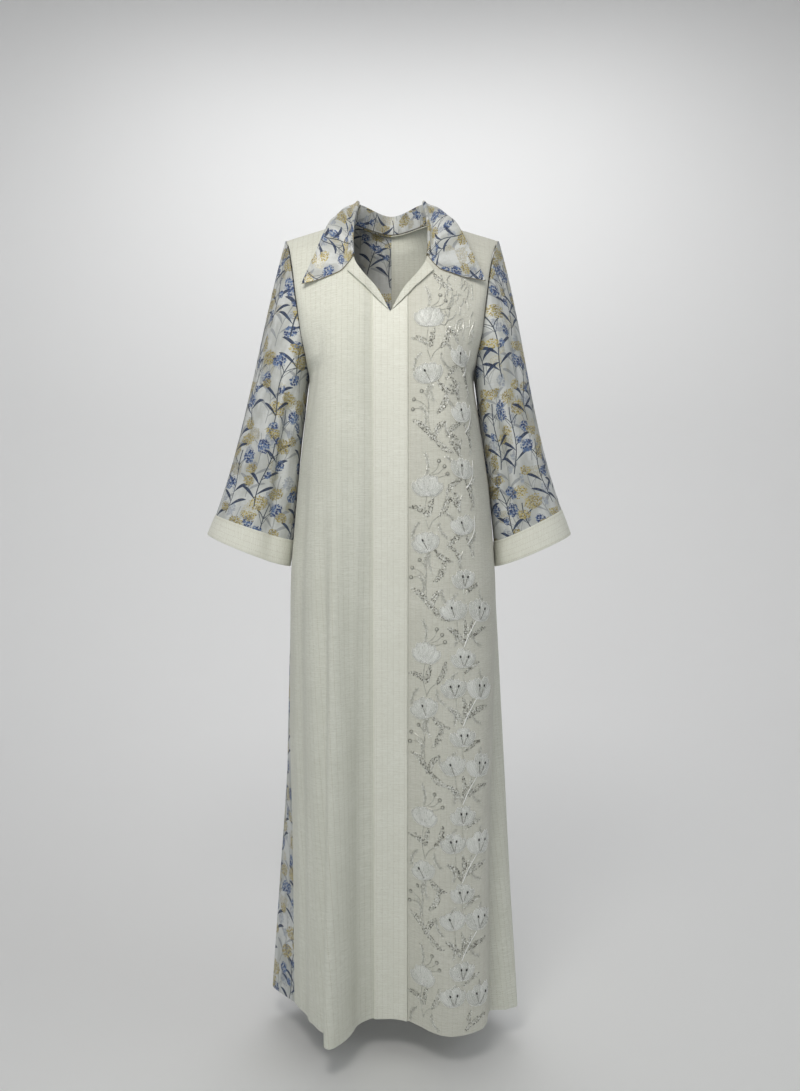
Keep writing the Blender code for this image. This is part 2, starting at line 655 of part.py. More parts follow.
def make_revers(side, collection):
    """The narrow facing turned back along one edge of the V."""
    heights = [row.height for row in NECKLINE]
    xs = np.array([row.x for row in NECKLINE])
    outer, inner = [], []
    steps, widths = 9, 4
    slope = (REVERS_OUTER_Z - V_POINT) / REVERS_OUTER_X
    for j in range(steps + 1):
        t = j / steps
        z = V_POINT + REVERS_TIP + t * (NOTCH - REVERS_TIP - V_POINT - 0.010)
        near = (float(spline(heights, xs, z)) + SEAM_GAP, z)
        far_x = REVERS_TIP + t * (REVERS_OUTER_X - REVERS_TIP)
        far_z = V_POINT + slope * far_x
        for k in range(widths):
            share = k / (widths - 1)
            x = near[0] + share * (far_x - near[0])
            height = near[1] + share * (far_z - near[1])
            s, up = front_place(side, x, height)
            p, n = surface(side, front_section, s, up), normal(side, front_section, s, up)
            lift = REVERS_LIFT + REVERS_RISE * share**2 * min(1.0, 3 * t)
            outer.append(p + n * (lift + WALL))
            inner.append(p + n * lift)
    points, faces = walled(outer, inner, steps + 1, widths)
    make_object("revers_" + SIDE_NAME[side], points, faces, collection)


def neck_edge(side, fronts, backs):
    """The neck edge's points on one side, from the revers round to the centre back."""
    columns = len(FRONT_COLUMNS)
    rows = row_heights(side)
    notch_up = up_at(side, front_section, NOTCH_SHARE, NOTCH)
    notch = min(range(len(rows)), key=lambda i: abs(rows[i] - notch_up))
    edge = [fronts[side][i * columns] for i in range(notch, len(rows) - 1)]
    top = (len(rows) - 1) * len(BACK_COLUMNS)
    tip_s = solve(0, 1, lambda s: abs(surface(side, back_section, s, rows[-1])[0]) < NECK_HALF)
    crossing = surface(side, back_section, tip_s, rows[-1])
    round_back = [s for s in BACK_COLUMNS if s < tip_s - 0.02]
    back = [backs[side][top + BACK_COLUMNS.index(s)] for s in reversed(round_back)]
    return edge + [crossing] + back


def collar_section(share, base, inwards, table, side):
    """The middle line of the collar's cloth in one section, from the neck edge to the leaf's edge."""
    shares = [row.share for row in table]

    def column(name):
        values = np.array([getattr(row, name) for row in table], float)
        value = spline(shares, values, share)
        return np.array((side * value[0], value[1], value[2]))

    start = base + inwards * (2 * SEAM_GAP + WALL / 2)
    roll = start + column("roll")
    middle, edge = column("middle"), column("edge")
    rise = unit(roll - start)
    out = middle - roll
    out = unit(out - rise * out.dot(rise))
    radius = min(COLLAR_ROLL, 0.4 * float(np.linalg.norm(roll - start)))
    centre = roll + out * radius - rise * radius
    line = [start, start + 0.5 * (roll - rise * radius - start)]
    for angle in np.linspace(0.0, math.pi, ROLL_POINTS):
        line.append(centre - out * radius * math.cos(angle) + rise * radius * math.sin(angle))
    landing = line[-1]
    leaf = np.array((landing, middle, edge))
    first = -rise * 0.6 * float(np.linalg.norm(middle - landing)) / 0.5
    for t in LEAF_SHARES:
        line.append(spline((0.0, 0.5, 1.0), leaf, t, start=first))
    return line


def make_collar(fronts, backs, collection):
    """The turned-down collar: a low stand, a roll and a leaf with long points, in one bent wall."""
    stations = []
    for side in (RIGHT, LEFT):
        edge = neck_edge(side, fronts, backs)
        runs = [0.0]
        for a, b in zip(edge, edge[1:]):
            runs.append(runs[-1] + float(np.linalg.norm(b - a)))
        lines = []
        for point, run in zip(edge, runs):
            share = run / runs[-1]
            inwards = unit((-point[0], -point[1] - 0.01, 0.0))
            lines.append(collar_section(share, point, inwards, COLLAR[side], side))
        stations.append(lines)
    middle = [(a + b) / 2 for a, b in zip(stations[0][-1], stations[1][-1])]
    for point in middle:
        point[0] = 0.0
    lines = stations[0][:-1] + [middle] + stations[1][-2::-1]
    body = cloth_tree(fronts, backs)
    grid = settled(np.array(lines), body, COLLAR_LIFT + WALL / 2, STAND_POINTS + ROLL_POINTS)
    faces_out = thickened(grid, WALL / 2)
    faces_in = thickened(grid, -WALL / 2)
    rows, columns = grid.shape[:2]
    points, faces = walled(faces_out.reshape(-1, 3), faces_in.reshape(-1, 3), rows, columns)
    make_object("collar", points, faces, collection)


def thickened(grid, distance):
    """A grid of points moved along its own normals."""
    across = np.gradient(grid, axis=0)
    along = np.gradient(grid, axis=1)
    n = np.cross(across, along)
    n /= np.maximum(np.linalg.norm(n, axis=2, keepdims=True), 1e-9)
    return grid + n * distance


def cloth_tree(fronts, backs):
    """The outer faces of the fronts and backs, for finding the nearest cloth."""
    points, faces = [], []
    for grids, columns in ((fronts, len(FRONT_COLUMNS)), (backs, len(BACK_COLUMNS))):
        for side in (RIGHT, LEFT):
            rows = len(row_heights(side))
            turned = (side == LEFT) == (grids is fronts)
            for face in grid_faces(rows, columns, first=len(points)):
                faces.append(face if turned else face[::-1])
            points += [tuple(p) for p in grids[side]]
    return BVHTree.FromPolygons(points, faces)


def settled(grid, tree, distance, first):
    """A grid of points, lifted off the cloth from one column on until all of it is clear."""
    for _ in range(8):
        for i in range(len(grid) - 1):
            for j in range(first, grid.shape[1] - 1):
                for a in (0.0, 0.25, 0.5, 0.75, 1.0):
                    for b in (0.0, 0.5, 1.0):
                        low = grid[i, j] * (1 - b) + grid[i, j + 1] * b
                        high = grid[i + 1, j] * (1 - b) + grid[i + 1, j + 1] * b
                        point = Vector(low * (1 - a) + high * a)
                        near, outward, _, _ = tree.find_nearest(point)
                        short = distance - (point - near).dot(outward)
                        if short > 0:
                            grid[i : i + 2, j : j + 2] += np.array(outward) * short
    return grid


def armhole(side, fronts, backs):
    """The edge points of an armhole, from the underarm up its front edge and down the back."""
    rows = len(row_heights(side))
    columns, back_columns = len(FRONT_COLUMNS), len(BACK_COLUMNS)
    edge = [fronts[side][i * columns + columns - 1] for i in range(BODY_CELLS, rows)]
    edge += [backs[side][i * back_columns + back_columns - 1] for i in range(rows - 2, BODY_CELLS, -1)]
    return [np.array(p) for p in edge]


def ring_point(ring, side, angle):
    """A point of a sleeve's end or cuff's end. Angle 0 is next to the body, half a turn outermost."""
    inner = np.array((side * ring.inner_x, ring.centre_y, ring.inner_z))
    outer = np.array((side * ring.outer_x, ring.centre_y, ring.outer_z))
    depth = np.array((0.0, -ring.half_depth * math.sin(angle), 0.0))
    return (inner + outer) / 2 + (inner - outer) / 2 * math.cos(angle) + depth


def fold_depth(side, angle, down):
    """How far the long soft folds press a sleeve in, at an angle round it and a share down it."""
    total = 0.0
    for fold in SLEEVE_FOLDS[side]:
        off = (angle - fold.angle + math.pi) % (2 * math.pi) - math.pi
        rise = min(max((down - fold.start) / 0.25, 0.0), 1.0)
        fall = min(max((fold.end - down) / 0.20, 0.0), 1.0)
        ease = rise * rise * (3 - 2 * rise) * fall * fall * (3 - 2 * fall)
        total += fold.depth * ease * math.exp(-((off / fold.width) ** 2))
    return total


def make_sleeve(side, fronts, backs, collection):
    """A wide straight sleeve from its armhole to the cuff, and the cuff that hangs from it."""
    edge = armhole(side, fronts, backs)
    count = len(edge)
    runs = [0.0]
    for a, b in zip(edge, edge[1:] + edge[:1]):
        runs.append(runs[-1] + float(np.linalg.norm(b - a)))
    top = YOKE_CELLS
    angles = []
    for i in range(count):
        if i <= top:
            angles.append(math.pi * runs[i] / runs[top])
        else:
            angles.append(math.pi + math.pi * (runs[i] - runs[top]) / (runs[count] - runs[top]))
    centre = sum(edge) / count
    ring = SLEEVE_END[side]
    end_centre = (ring_point(ring, side, 0.0) + ring_point(ring, side, math.pi)) / 2
    hang = unit((side * (ring.outer_z - ring.inner_z), 0.0, ring.inner_x - ring.outer_x))
    outwards = np.array((float(side), 0.0, 0.0))
    lines, inner_lines = [], []
    for point, angle in zip(edge, angles):
        end = ring_point(ring, side, angle)
        reach = float(np.linalg.norm(end - point))
        over = 0.5 - 0.5 * math.cos(angle)
        leave = unit((side * (0.22 + 0.08 * over), -0.10 * math.sin(angle), -1.0))
        arrive = unit((side * (0.10 + 0.28 * over), 0.0, -1.0))
        line, inside = [], []
        for i in range(SLEEVE_CELLS + 1):
            t = i / SLEEVE_CELLS
            p = spline((0.0, 1.0), np.array((point, end)), t, start=leave * reach, end=arrive * reach)
            line.append(p + outwards * (SEAM_GAP + 0.0002) * (1 - t))
        for i, p in enumerate(line):
            t = i / SLEEVE_CELLS
            ahead = unit(line[min(i + 1, SLEEVE_CELLS)] - line[max(i - 1, 0)])
            inward = centre + (end_centre - centre) * t - p
            inward = unit(inward - ahead * inward.dot(ahead))
            line[i] = p + inward * fold_depth(side, angle, t)
            if i == 0 and inward[0] * side < 0:
                inward = unit((0.0, inward[1], inward[2]))
            inside.append(line[i] + inward * WALL)
        lines.append(line)
        inner_lines.append(inside)
    outer = [lines[j][i] for i in range(SLEEVE_CELLS + 1) for j in range(count)]
    inner = [inner_lines[j][i] for i in range(SLEEVE_CELLS + 1) for j in range(count)]
    points, faces = tube(outer, inner, SLEEVE_CELLS + 1, count)
    make_object("sleeve_" + SIDE_NAME[side], points, faces, collection)
    make_cuff(side, outer[-count:], inner[-count:], angles, hang, collection)


def make_cuff(side, outer_end, inner_end, angles, hang, collection):
    """The broad plain band that the sleeve ends in, two layers thick."""
    count = len(angles)
    outer, inner = [], []
    for i in range(CUFF_CELLS + 1):
        t = i / CUFF_CELLS
        for j, angle in enumerate(angles):
            start_out = outer_end[j] + hang * SEAM_GAP
            start_in = inner_end[j] + hang * SEAM_GAP
            inward = unit(start_in - start_out)
            bottom = ring_point(CUFF_END[side], side, angle)
            bottom = bottom + inward * fold_depth(side, angle, 1.0) * 0.8
            p = start_out + (bottom - start_out) * t
            outer.append(p - inward * CUFF_PROUD)
            inner.append(p + inward * (WALL + CUFF_PROUD))
    points, faces = tube(outer, inner, CUFF_CELLS + 1, count)
    make_object("cuff_" + SIDE_NAME[side], points, faces, collection)


def main():
    """Clears the scene and makes every piece."""
    for old in list(bpy.data.objects):
        bpy.data.objects.remove(old, do_unlink=True)
    collection = bpy.data.collections.new(NAME)
    bpy.context.scene.collection.children.link(collection)
    fronts = make_fronts(collection)
    backs = make_backs(collection)
    make_placket(collection)
    for side in (RIGHT, LEFT):
        make_revers(side, collection)
        make_sleeve(side, fronts, backs, collection)
    make_collar(fronts, backs, collection)


main()
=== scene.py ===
"""The looks of a long, loose, open-necked jalabiya with printed sleeves and beaded flowers.

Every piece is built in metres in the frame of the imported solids, whose origin lies midway between
the points where the shoulder seams meet the collar. +Z is up, the front faces -Y, and the wearer's
right is at -X. A piece of cloth is a fine grid laid on the surface that its pattern tables describe.
"""
import logging
import math
from dataclasses import dataclass, field
from enum import Enum
from functools import cached_property, partialmethod
from typing import Callable, NamedTuple, Sequence

import bmesh
import bpy
import numpy as np
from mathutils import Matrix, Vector
from mathutils.bvhtree import BVHTree


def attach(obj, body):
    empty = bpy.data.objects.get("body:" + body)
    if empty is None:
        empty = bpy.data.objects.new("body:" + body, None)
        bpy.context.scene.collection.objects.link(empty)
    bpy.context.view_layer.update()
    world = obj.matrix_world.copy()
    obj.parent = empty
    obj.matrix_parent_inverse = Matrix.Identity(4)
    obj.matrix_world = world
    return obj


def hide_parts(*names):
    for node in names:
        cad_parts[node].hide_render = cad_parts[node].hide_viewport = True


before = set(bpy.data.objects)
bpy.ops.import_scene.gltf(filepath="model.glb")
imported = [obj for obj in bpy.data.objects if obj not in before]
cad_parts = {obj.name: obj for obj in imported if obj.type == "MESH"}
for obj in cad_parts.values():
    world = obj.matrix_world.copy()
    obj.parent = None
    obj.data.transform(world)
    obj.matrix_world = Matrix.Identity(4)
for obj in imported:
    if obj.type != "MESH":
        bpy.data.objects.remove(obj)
log = logging.getLogger("jalabiya")

# Driving dimensions of the garment, in metres
LENGTH = 1.394
UNDERARM = -0.280
SHOULDER_DROP = 0.034
NECK_HALF = 0.072
V_POINT = -0.186
NOTCH = -0.088
PLACKET_HALF = 0.0292
WALL = 0.0016
BAND_WALL = 0.0024
MM = 0.001

Colour = tuple[float, float, float]


class Side(Enum):
    """The wearer's sides, as signs of X."""

    RIGHT = -1
    LEFT = 1

    @property
    def word(self) -> str:
        """The side's name in the names of pieces."""
        return self.name.lower()


class Face(Enum):
    """Whether a panel is a front or a back."""

    FRONT = 1
    BACK = -1


def rows_of(kind: Callable[..., tuple], *rows: Sequence[float]) -> tuple:
    """The rows of a pattern table, whose columns the kind of row names."""
    return tuple(kind(*row) for row in rows)


class FrontRow(NamedTuple):
    """A row of a front: how far up the cloth it lies, its height, and five places across it in plan."""

    up: float
    height: float
    centre_y: float
    edge_y: float
    slope_x: float
    slope_y: float
    crest_x: float
    crest_y: float
    foot_x: float
    foot_y: float
    side_x: float
    side_y: float


class BackRow(NamedTuple):
    """A row of a back: its centre seam, crest, hollow, flare, and its armhole edge where it has one."""

    centre_y: float
    crest_x: float
    crest_y: float
    hollow_x: float
    hollow_y: float
    flare_x: float
    flare_y: float
    arm_y: float | None = None


FRONT_KNOTS = (0.0, 0.16, 0.33, 0.53, 0.76, 1.0)
FRONT_ROWS = {
    Side.RIGHT: rows_of(
        FrontRow,
        (0.000, -LENGTH, -0.066, -0.068, 0.060, -0.108, 0.0986, -0.1475, 0.135, -0.076, 0.1740, -0.020),
        (0.284, -1.110, -0.084, -0.087, 0.058, -0.116, 0.0955, -0.1420, 0.136, -0.088, 0.1765, -0.018),
        (0.520, -0.874, -0.097, -0.100, 0.056, -0.121, 0.0925, -0.1370, 0.138, -0.094, 0.1820, -0.012),
        (0.727, -0.667, -0.108, -0.110, 0.055, -0.124, 0.0900, -0.1330, 0.139, -0.096, 0.1800, -0.005),
        (0.894, -0.500, -0.115, -0.117, 0.053, -0.126, 0.0870, -0.1310, 0.133, -0.096, 0.1690, -0.003),
        (1.034, -0.360, -0.119, -0.121, 0.051, -0.128, 0.0840, -0.1310, 0.124, -0.098, 0.1540, -0.002),
        (1.114, UNDERARM, -0.119, -0.121, 0.050, -0.128, 0.0800, -0.1300, 0.119, -0.098, 0.1455, 0.000),
        (1.142, 0.10, -0.118, -0.120, 0.049, -0.127, 0.0790, -0.1290, 0.116, -0.108, 0.1465, -0.040),
        (1.192, 0.28, -0.112, -0.114, 0.048, -0.121, 0.0790, -0.1220, 0.118, -0.107, 0.1535, -0.066),
        (1.255, 0.50, -0.098, -0.100, 0.050, -0.106, 0.0830, -0.1050, 0.127, -0.092, 0.1610, -0.068),
        (1.318, 0.72, -0.078, -0.080, 0.052, -0.085, 0.0880, -0.0820, 0.135, -0.070, 0.1690, -0.055),
        (1.368, 0.88, -0.055, -0.056, 0.055, -0.058, 0.0920, -0.0530, 0.140, -0.045, 0.1765, -0.035),
        (1.435, 1.00, 0.000, 0.000, 0.060, 0.000, 0.0980, 0.0000, 0.144, 0.000, 0.1845, 0.000),
    ),
    Side.LEFT: rows_of(
        FrontRow,
        (0.000, -LENGTH, -0.066, -0.0735, 0.056, -0.096, 0.1030, -0.1190, 0.152, -0.094, 0.1726, -0.046),
        (0.284, -1.110, -0.084, -0.088, 0.055, -0.105, 0.1000, -0.1210, 0.150, -0.098, 0.1740, -0.040),
        (0.520, -0.874, -0.097, -0.100, 0.054, -0.112, 0.0980, -0.1240, 0.150, -0.100, 0.1810, -0.030),
        (0.727, -0.667, -0.108, -0.110, 0.054, -0.119, 0.0950, -0.1270, 0.149, -0.100, 0.1860, -0.015),
        (0.894, -0.500, -0.115, -0.117, 0.052, -0.124, 0.0910, -0.1290, 0.142, -0.098, 0.1765, -0.006),
        (1.034, -0.360, -0.119, -0.121, 0.051, -0.127, 0.0870, -0.1300, 0.130, -0.098, 0.1580, -0.003),
        (1.114, UNDERARM, -0.119, -0.121, 0.050, -0.128, 0.0820, -0.1300, 0.122, -0.098, 0.1475, 0.000),
        (1.142, 0.10, -0.118, -0.120, 0.049, -0.127, 0.0800, -0.1290, 0.118, -0.108, 0.1485, -0.040),
        (1.192, 0.28, -0.112, -0.114, 0.048, -0.121, 0.0800, -0.1220, 0.120, -0.107, 0.1565, -0.066),
        (1.255, 0.50, -0.098, -0.100, 0.050, -0.106, 0.0840, -0.1050, 0.128, -0.092, 0.1630, -0.068),
        (1.318, 0.72, -0.078, -0.080, 0.052, -0.085, 0.0900, -0.0820, 0.137, -0.070, 0.1710, -0.055),
        (1.368, 0.88, -0.055, -0.056, 0.055, -0.058, 0.0940, -0.0530, 0.143, -0.045, 0.1800, -0.035),
        (1.435, 1.00, 0.000, 0.000, 0.060, 0.000, 0.1000, 0.0000, 0.148, 0.000, 0.1890, 0.000),
    ),
}
BACK_KNOTS = (0.0, 0.35, 0.62, 0.85, 1.0)
BACK_YOKE = rows_of(
    BackRow,
    (0.094, 0.077, 0.105, 0.118, 0.084, 0.138, 0.062, 0.042),
    (0.090, 0.077, 0.099, 0.118, 0.089, 0.140, 0.080, 0.068),
    (0.084, 0.078, 0.092, 0.120, 0.088, 0.146, 0.082, 0.070),
    (0.076, 0.080, 0.080, 0.124, 0.077, 0.152, 0.070, 0.058),
    (0.068, 0.082, 0.058, 0.128, 0.054, 0.157, 0.047, 0.037),
    (0.058, 0.082, 0.002, 0.134, 0.000, 0.162, 0.000, 0.000),
)
BACK_ROWS = {
    Side.RIGHT: rows_of(
        BackRow,
        (0.108, 0.098, 0.142, 0.170, 0.075, 0.221, 0.034),
        (0.108, 0.094, 0.136, 0.160, 0.080, 0.2020, 0.038),
        (0.107, 0.090, 0.130, 0.152, 0.084, 0.1905, 0.040),
        (0.105, 0.086, 0.124, 0.146, 0.086, 0.178, 0.044),
        (0.102, 0.082, 0.118, 0.138, 0.086, 0.166, 0.044),
        (0.098, 0.079, 0.112, 0.128, 0.084, 0.151, 0.042),
        (0.096, 0.077, 0.108, 0.122, 0.082, 0.142, 0.040),
    )
    + BACK_YOKE,
    Side.LEFT: rows_of(
        BackRow,
        (0.108, 0.105, 0.135, 0.185, 0.050, 0.225, -0.030),
        (0.108, 0.100, 0.131, 0.176, 0.062, 0.213, -0.012),
        (0.107, 0.095, 0.127, 0.166, 0.072, 0.2015, 0.005),
        (0.105, 0.090, 0.122, 0.156, 0.080, 0.190, 0.022),
        (0.102, 0.085, 0.117, 0.144, 0.084, 0.174, 0.036),
        (0.098, 0.081, 0.112, 0.131, 0.084, 0.155, 0.042),
        (0.096, 0.078, 0.108, 0.124, 0.082, 0.144, 0.040),
    )
    + BACK_YOKE,
}

# The neck edge of a front: heights, and distances from the centre
NECK_HEIGHTS = (V_POINT, -0.143, -0.119, -0.094, -0.040, 0.000)
NECK_XS = (0.0002, 0.0240, 0.0455, 0.0600, 0.0680, NECK_HALF)


def hermite(a: np.ndarray, b: np.ndarray, leave: np.ndarray, arrive: np.ndarray, t: np.ndarray) -> np.ndarray:
    """A smooth way from a to b, at t from 0 to 1, with the directions in which it leaves and arrives."""
    return (
        a * (2 * t**3 - 3 * t**2 + 1)
        + b * (3 * t**2 - 2 * t**3)
        + leave * (t**3 - 2 * t**2 + t)
        + arrive * (t**3 - t**2)
    )


def curve(
    knots: Sequence[float],
    values: np.ndarray,
    at: np.ndarray,
    start: Sequence[float] | None = None,
    end: Sequence[float] | None = None,
) -> np.ndarray:
    """Evaluates smooth curves that pass through values at the knots and never beyond them.

    Args:
        knots: Where the values lie, rising.
        values: Array of (knots, points or 1, parts).
        at: Where each point is evaluated.
        start: The slope at the first knot, where it is given.
        end: The slope at the last knot, where it is given.

    Returns:
        Array of (points, parts).
    """
    k, v = np.asarray(knots, float), np.asarray(values, float)
    step = np.diff(k)[:, None, None]
    fall = np.diff(v, axis=0) / step
    near, far = 2 * step[1:] + step[:-1], step[1:] + 2 * step[:-1]
    same = fall[:-1] * fall[1:] > 0
    before, after = np.where(same, fall[:-1], 1.0), np.where(same, fall[1:], 1.0)
    inner = np.where(same, (near + far) / (near / before + far / after), 0.0)
    first = fall[:1] if start is None else np.broadcast_to(np.asarray(start, float), fall[:1].shape)
    last = fall[-1:] if end is None else np.broadcast_to(np.asarray(end, float), fall[-1:].shape)
    slopes = np.concatenate([first, inner, last])
    i = np.clip(np.searchsorted(k, at, "right") - 1, 0, len(k) - 2)
    j = np.arange(len(at)) if v.shape[1] > 1 else 0
    span = (k[i + 1] - k[i])[:, None]
    t = (at - k[i])[:, None] / span
    return hermite(v[i, j], v[i + 1, j], slopes[i, j] * span, slopes[i + 1, j] * span, t)


def halved(most: np.ndarray, short: Callable[[np.ndarray], np.ndarray], steps: int = 32) -> np.ndarray:
    """Finds the values, between 0 and the most that each may be, where short stops being true."""
    low, high = np.zeros(len(most)), most
    for _ in range(steps):
        middle = (low + high) / 2
        less = short(middle)
        low, high = np.where(less, middle, low), np.where(less, high, middle)
    return (low + high) / 2


def units(vectors: np.ndarray) -> np.ndarray:
    """The directions of an array of vectors."""
    return vectors / np.maximum(np.linalg.norm(vectors, axis=-1, keepdims=True), 1e-12)


def square_to(vectors: np.ndarray, normals: np.ndarray) -> np.ndarray:
    """The directions of vectors, turned square to the given normals."""
    return units(vectors - normals * (vectors * normals).sum(axis=-1, keepdims=True))


def smooth(t: np.ndarray) -> np.ndarray:
    """Eases a value from 0 to 1, and holds it outside."""
    t = np.clip(t, 0.0, 1.0)
    return t * t * (3 - 2 * t)


def runs_along(points: np.ndarray) -> np.ndarray:
    """Distances along a line of points from its first one, over the next to last axis."""
    steps = np.linalg.norm(np.diff(points, axis=-2), axis=-1)
    return np.concatenate([np.zeros((*steps.shape[:-1], 1)), np.cumsum(steps, axis=-1)], axis=-1)


def at_runs(line: np.ndarray, runs: np.ndarray, at: Sequence[float]) -> np.ndarray:
    """The places at given runs on a line, whose own points lie at the runs beside it."""
    return np.column_stack([np.interp(at, runs, part) for part in line.T])


class Crease(NamedTuple):
    """A soft trough or ridge that runs up a panel.

    It starts share of the way across at the height low along the cloth, drifts sideways on its way
    to high, and is wide metres to where it fades and deep metres outwards, or inwards if negative.
    """

    share: float
    drift: float
    low: float
    high: float
    wide: float
    deep: float


# The soft creases that the photo shows in the fronts, and uneven ones like them in the backs
FRONT_CREASES = {
    Side.RIGHT: rows_of(
        Crease,
        (0.655, -0.02, -0.30, 1.00, 0.0155, -0.0120),
        (0.57, -0.01, -0.20, 0.95, 0.011, 0.0050),
        (0.27, 0.01, -0.30, 0.98, 0.023, -0.0100),
        (0.86, -0.03, 0.00, 1.06, 0.014, -0.0056),
        (0.40, 0.03, 0.45, 1.12, 0.014, -0.0034),
        (0.76, 0.03, -0.30, 0.50, 0.012, 0.0042),
        (0.93, -0.05, -0.10, 0.55, 0.010, 0.0028),
        (0.90, -0.16, 0.98, 1.20, 0.010, -0.0026),
    ),
    Side.LEFT: rows_of(
        Crease,
        (0.86, 0.00, -0.40, 0.98, 0.030, 0.0060),
        (0.55, 0.02, -0.20, 0.85, 0.022, -0.0036),
        (0.30, 0.02, -0.20, 0.75, 0.014, -0.0026),
        (0.90, -0.14, 0.98, 1.19, 0.010, -0.0022),
    ),
}
BACK_CREASES = {
    Side.RIGHT: rows_of(
        Crease,
        (0.10, 0.03, -0.10, 0.90, 0.014, -0.0071),
        (0.24, -0.02, 0.15, 1.20, 0.012, 0.0044),
        (0.44, 0.03, -0.20, 0.74, 0.016, -0.0065),
        (0.60, -0.02, 0.10, 1.06, 0.012, -0.0058),
        (0.74, 0.04, -0.30, 0.58, 0.011, 0.0048),
        (0.88, -0.05, 0.20, 1.10, 0.013, -0.0061),
        (0.30, 0.08, 0.95, 1.30, 0.017, -0.0051),
    ),
    Side.LEFT: rows_of(
        Crease,
        (0.14, -0.02, 0.05, 1.05, 0.016, -0.0061),
        (0.30, 0.04, -0.20, 0.66, 0.012, 0.0048),
        (0.50, -0.03, 0.12, 0.98, 0.014, -0.0071),
        (0.66, 0.02, -0.10, 0.82, 0.011, -0.0044),
        (0.82, -0.02, 0.00, 1.08, 0.014, -0.0065),
        (0.93, 0.00, -0.30, 0.46, 0.011, 0.0041),
        (0.40, -0.10, 0.92, 1.28, 0.014, -0.0048),
    ),
}


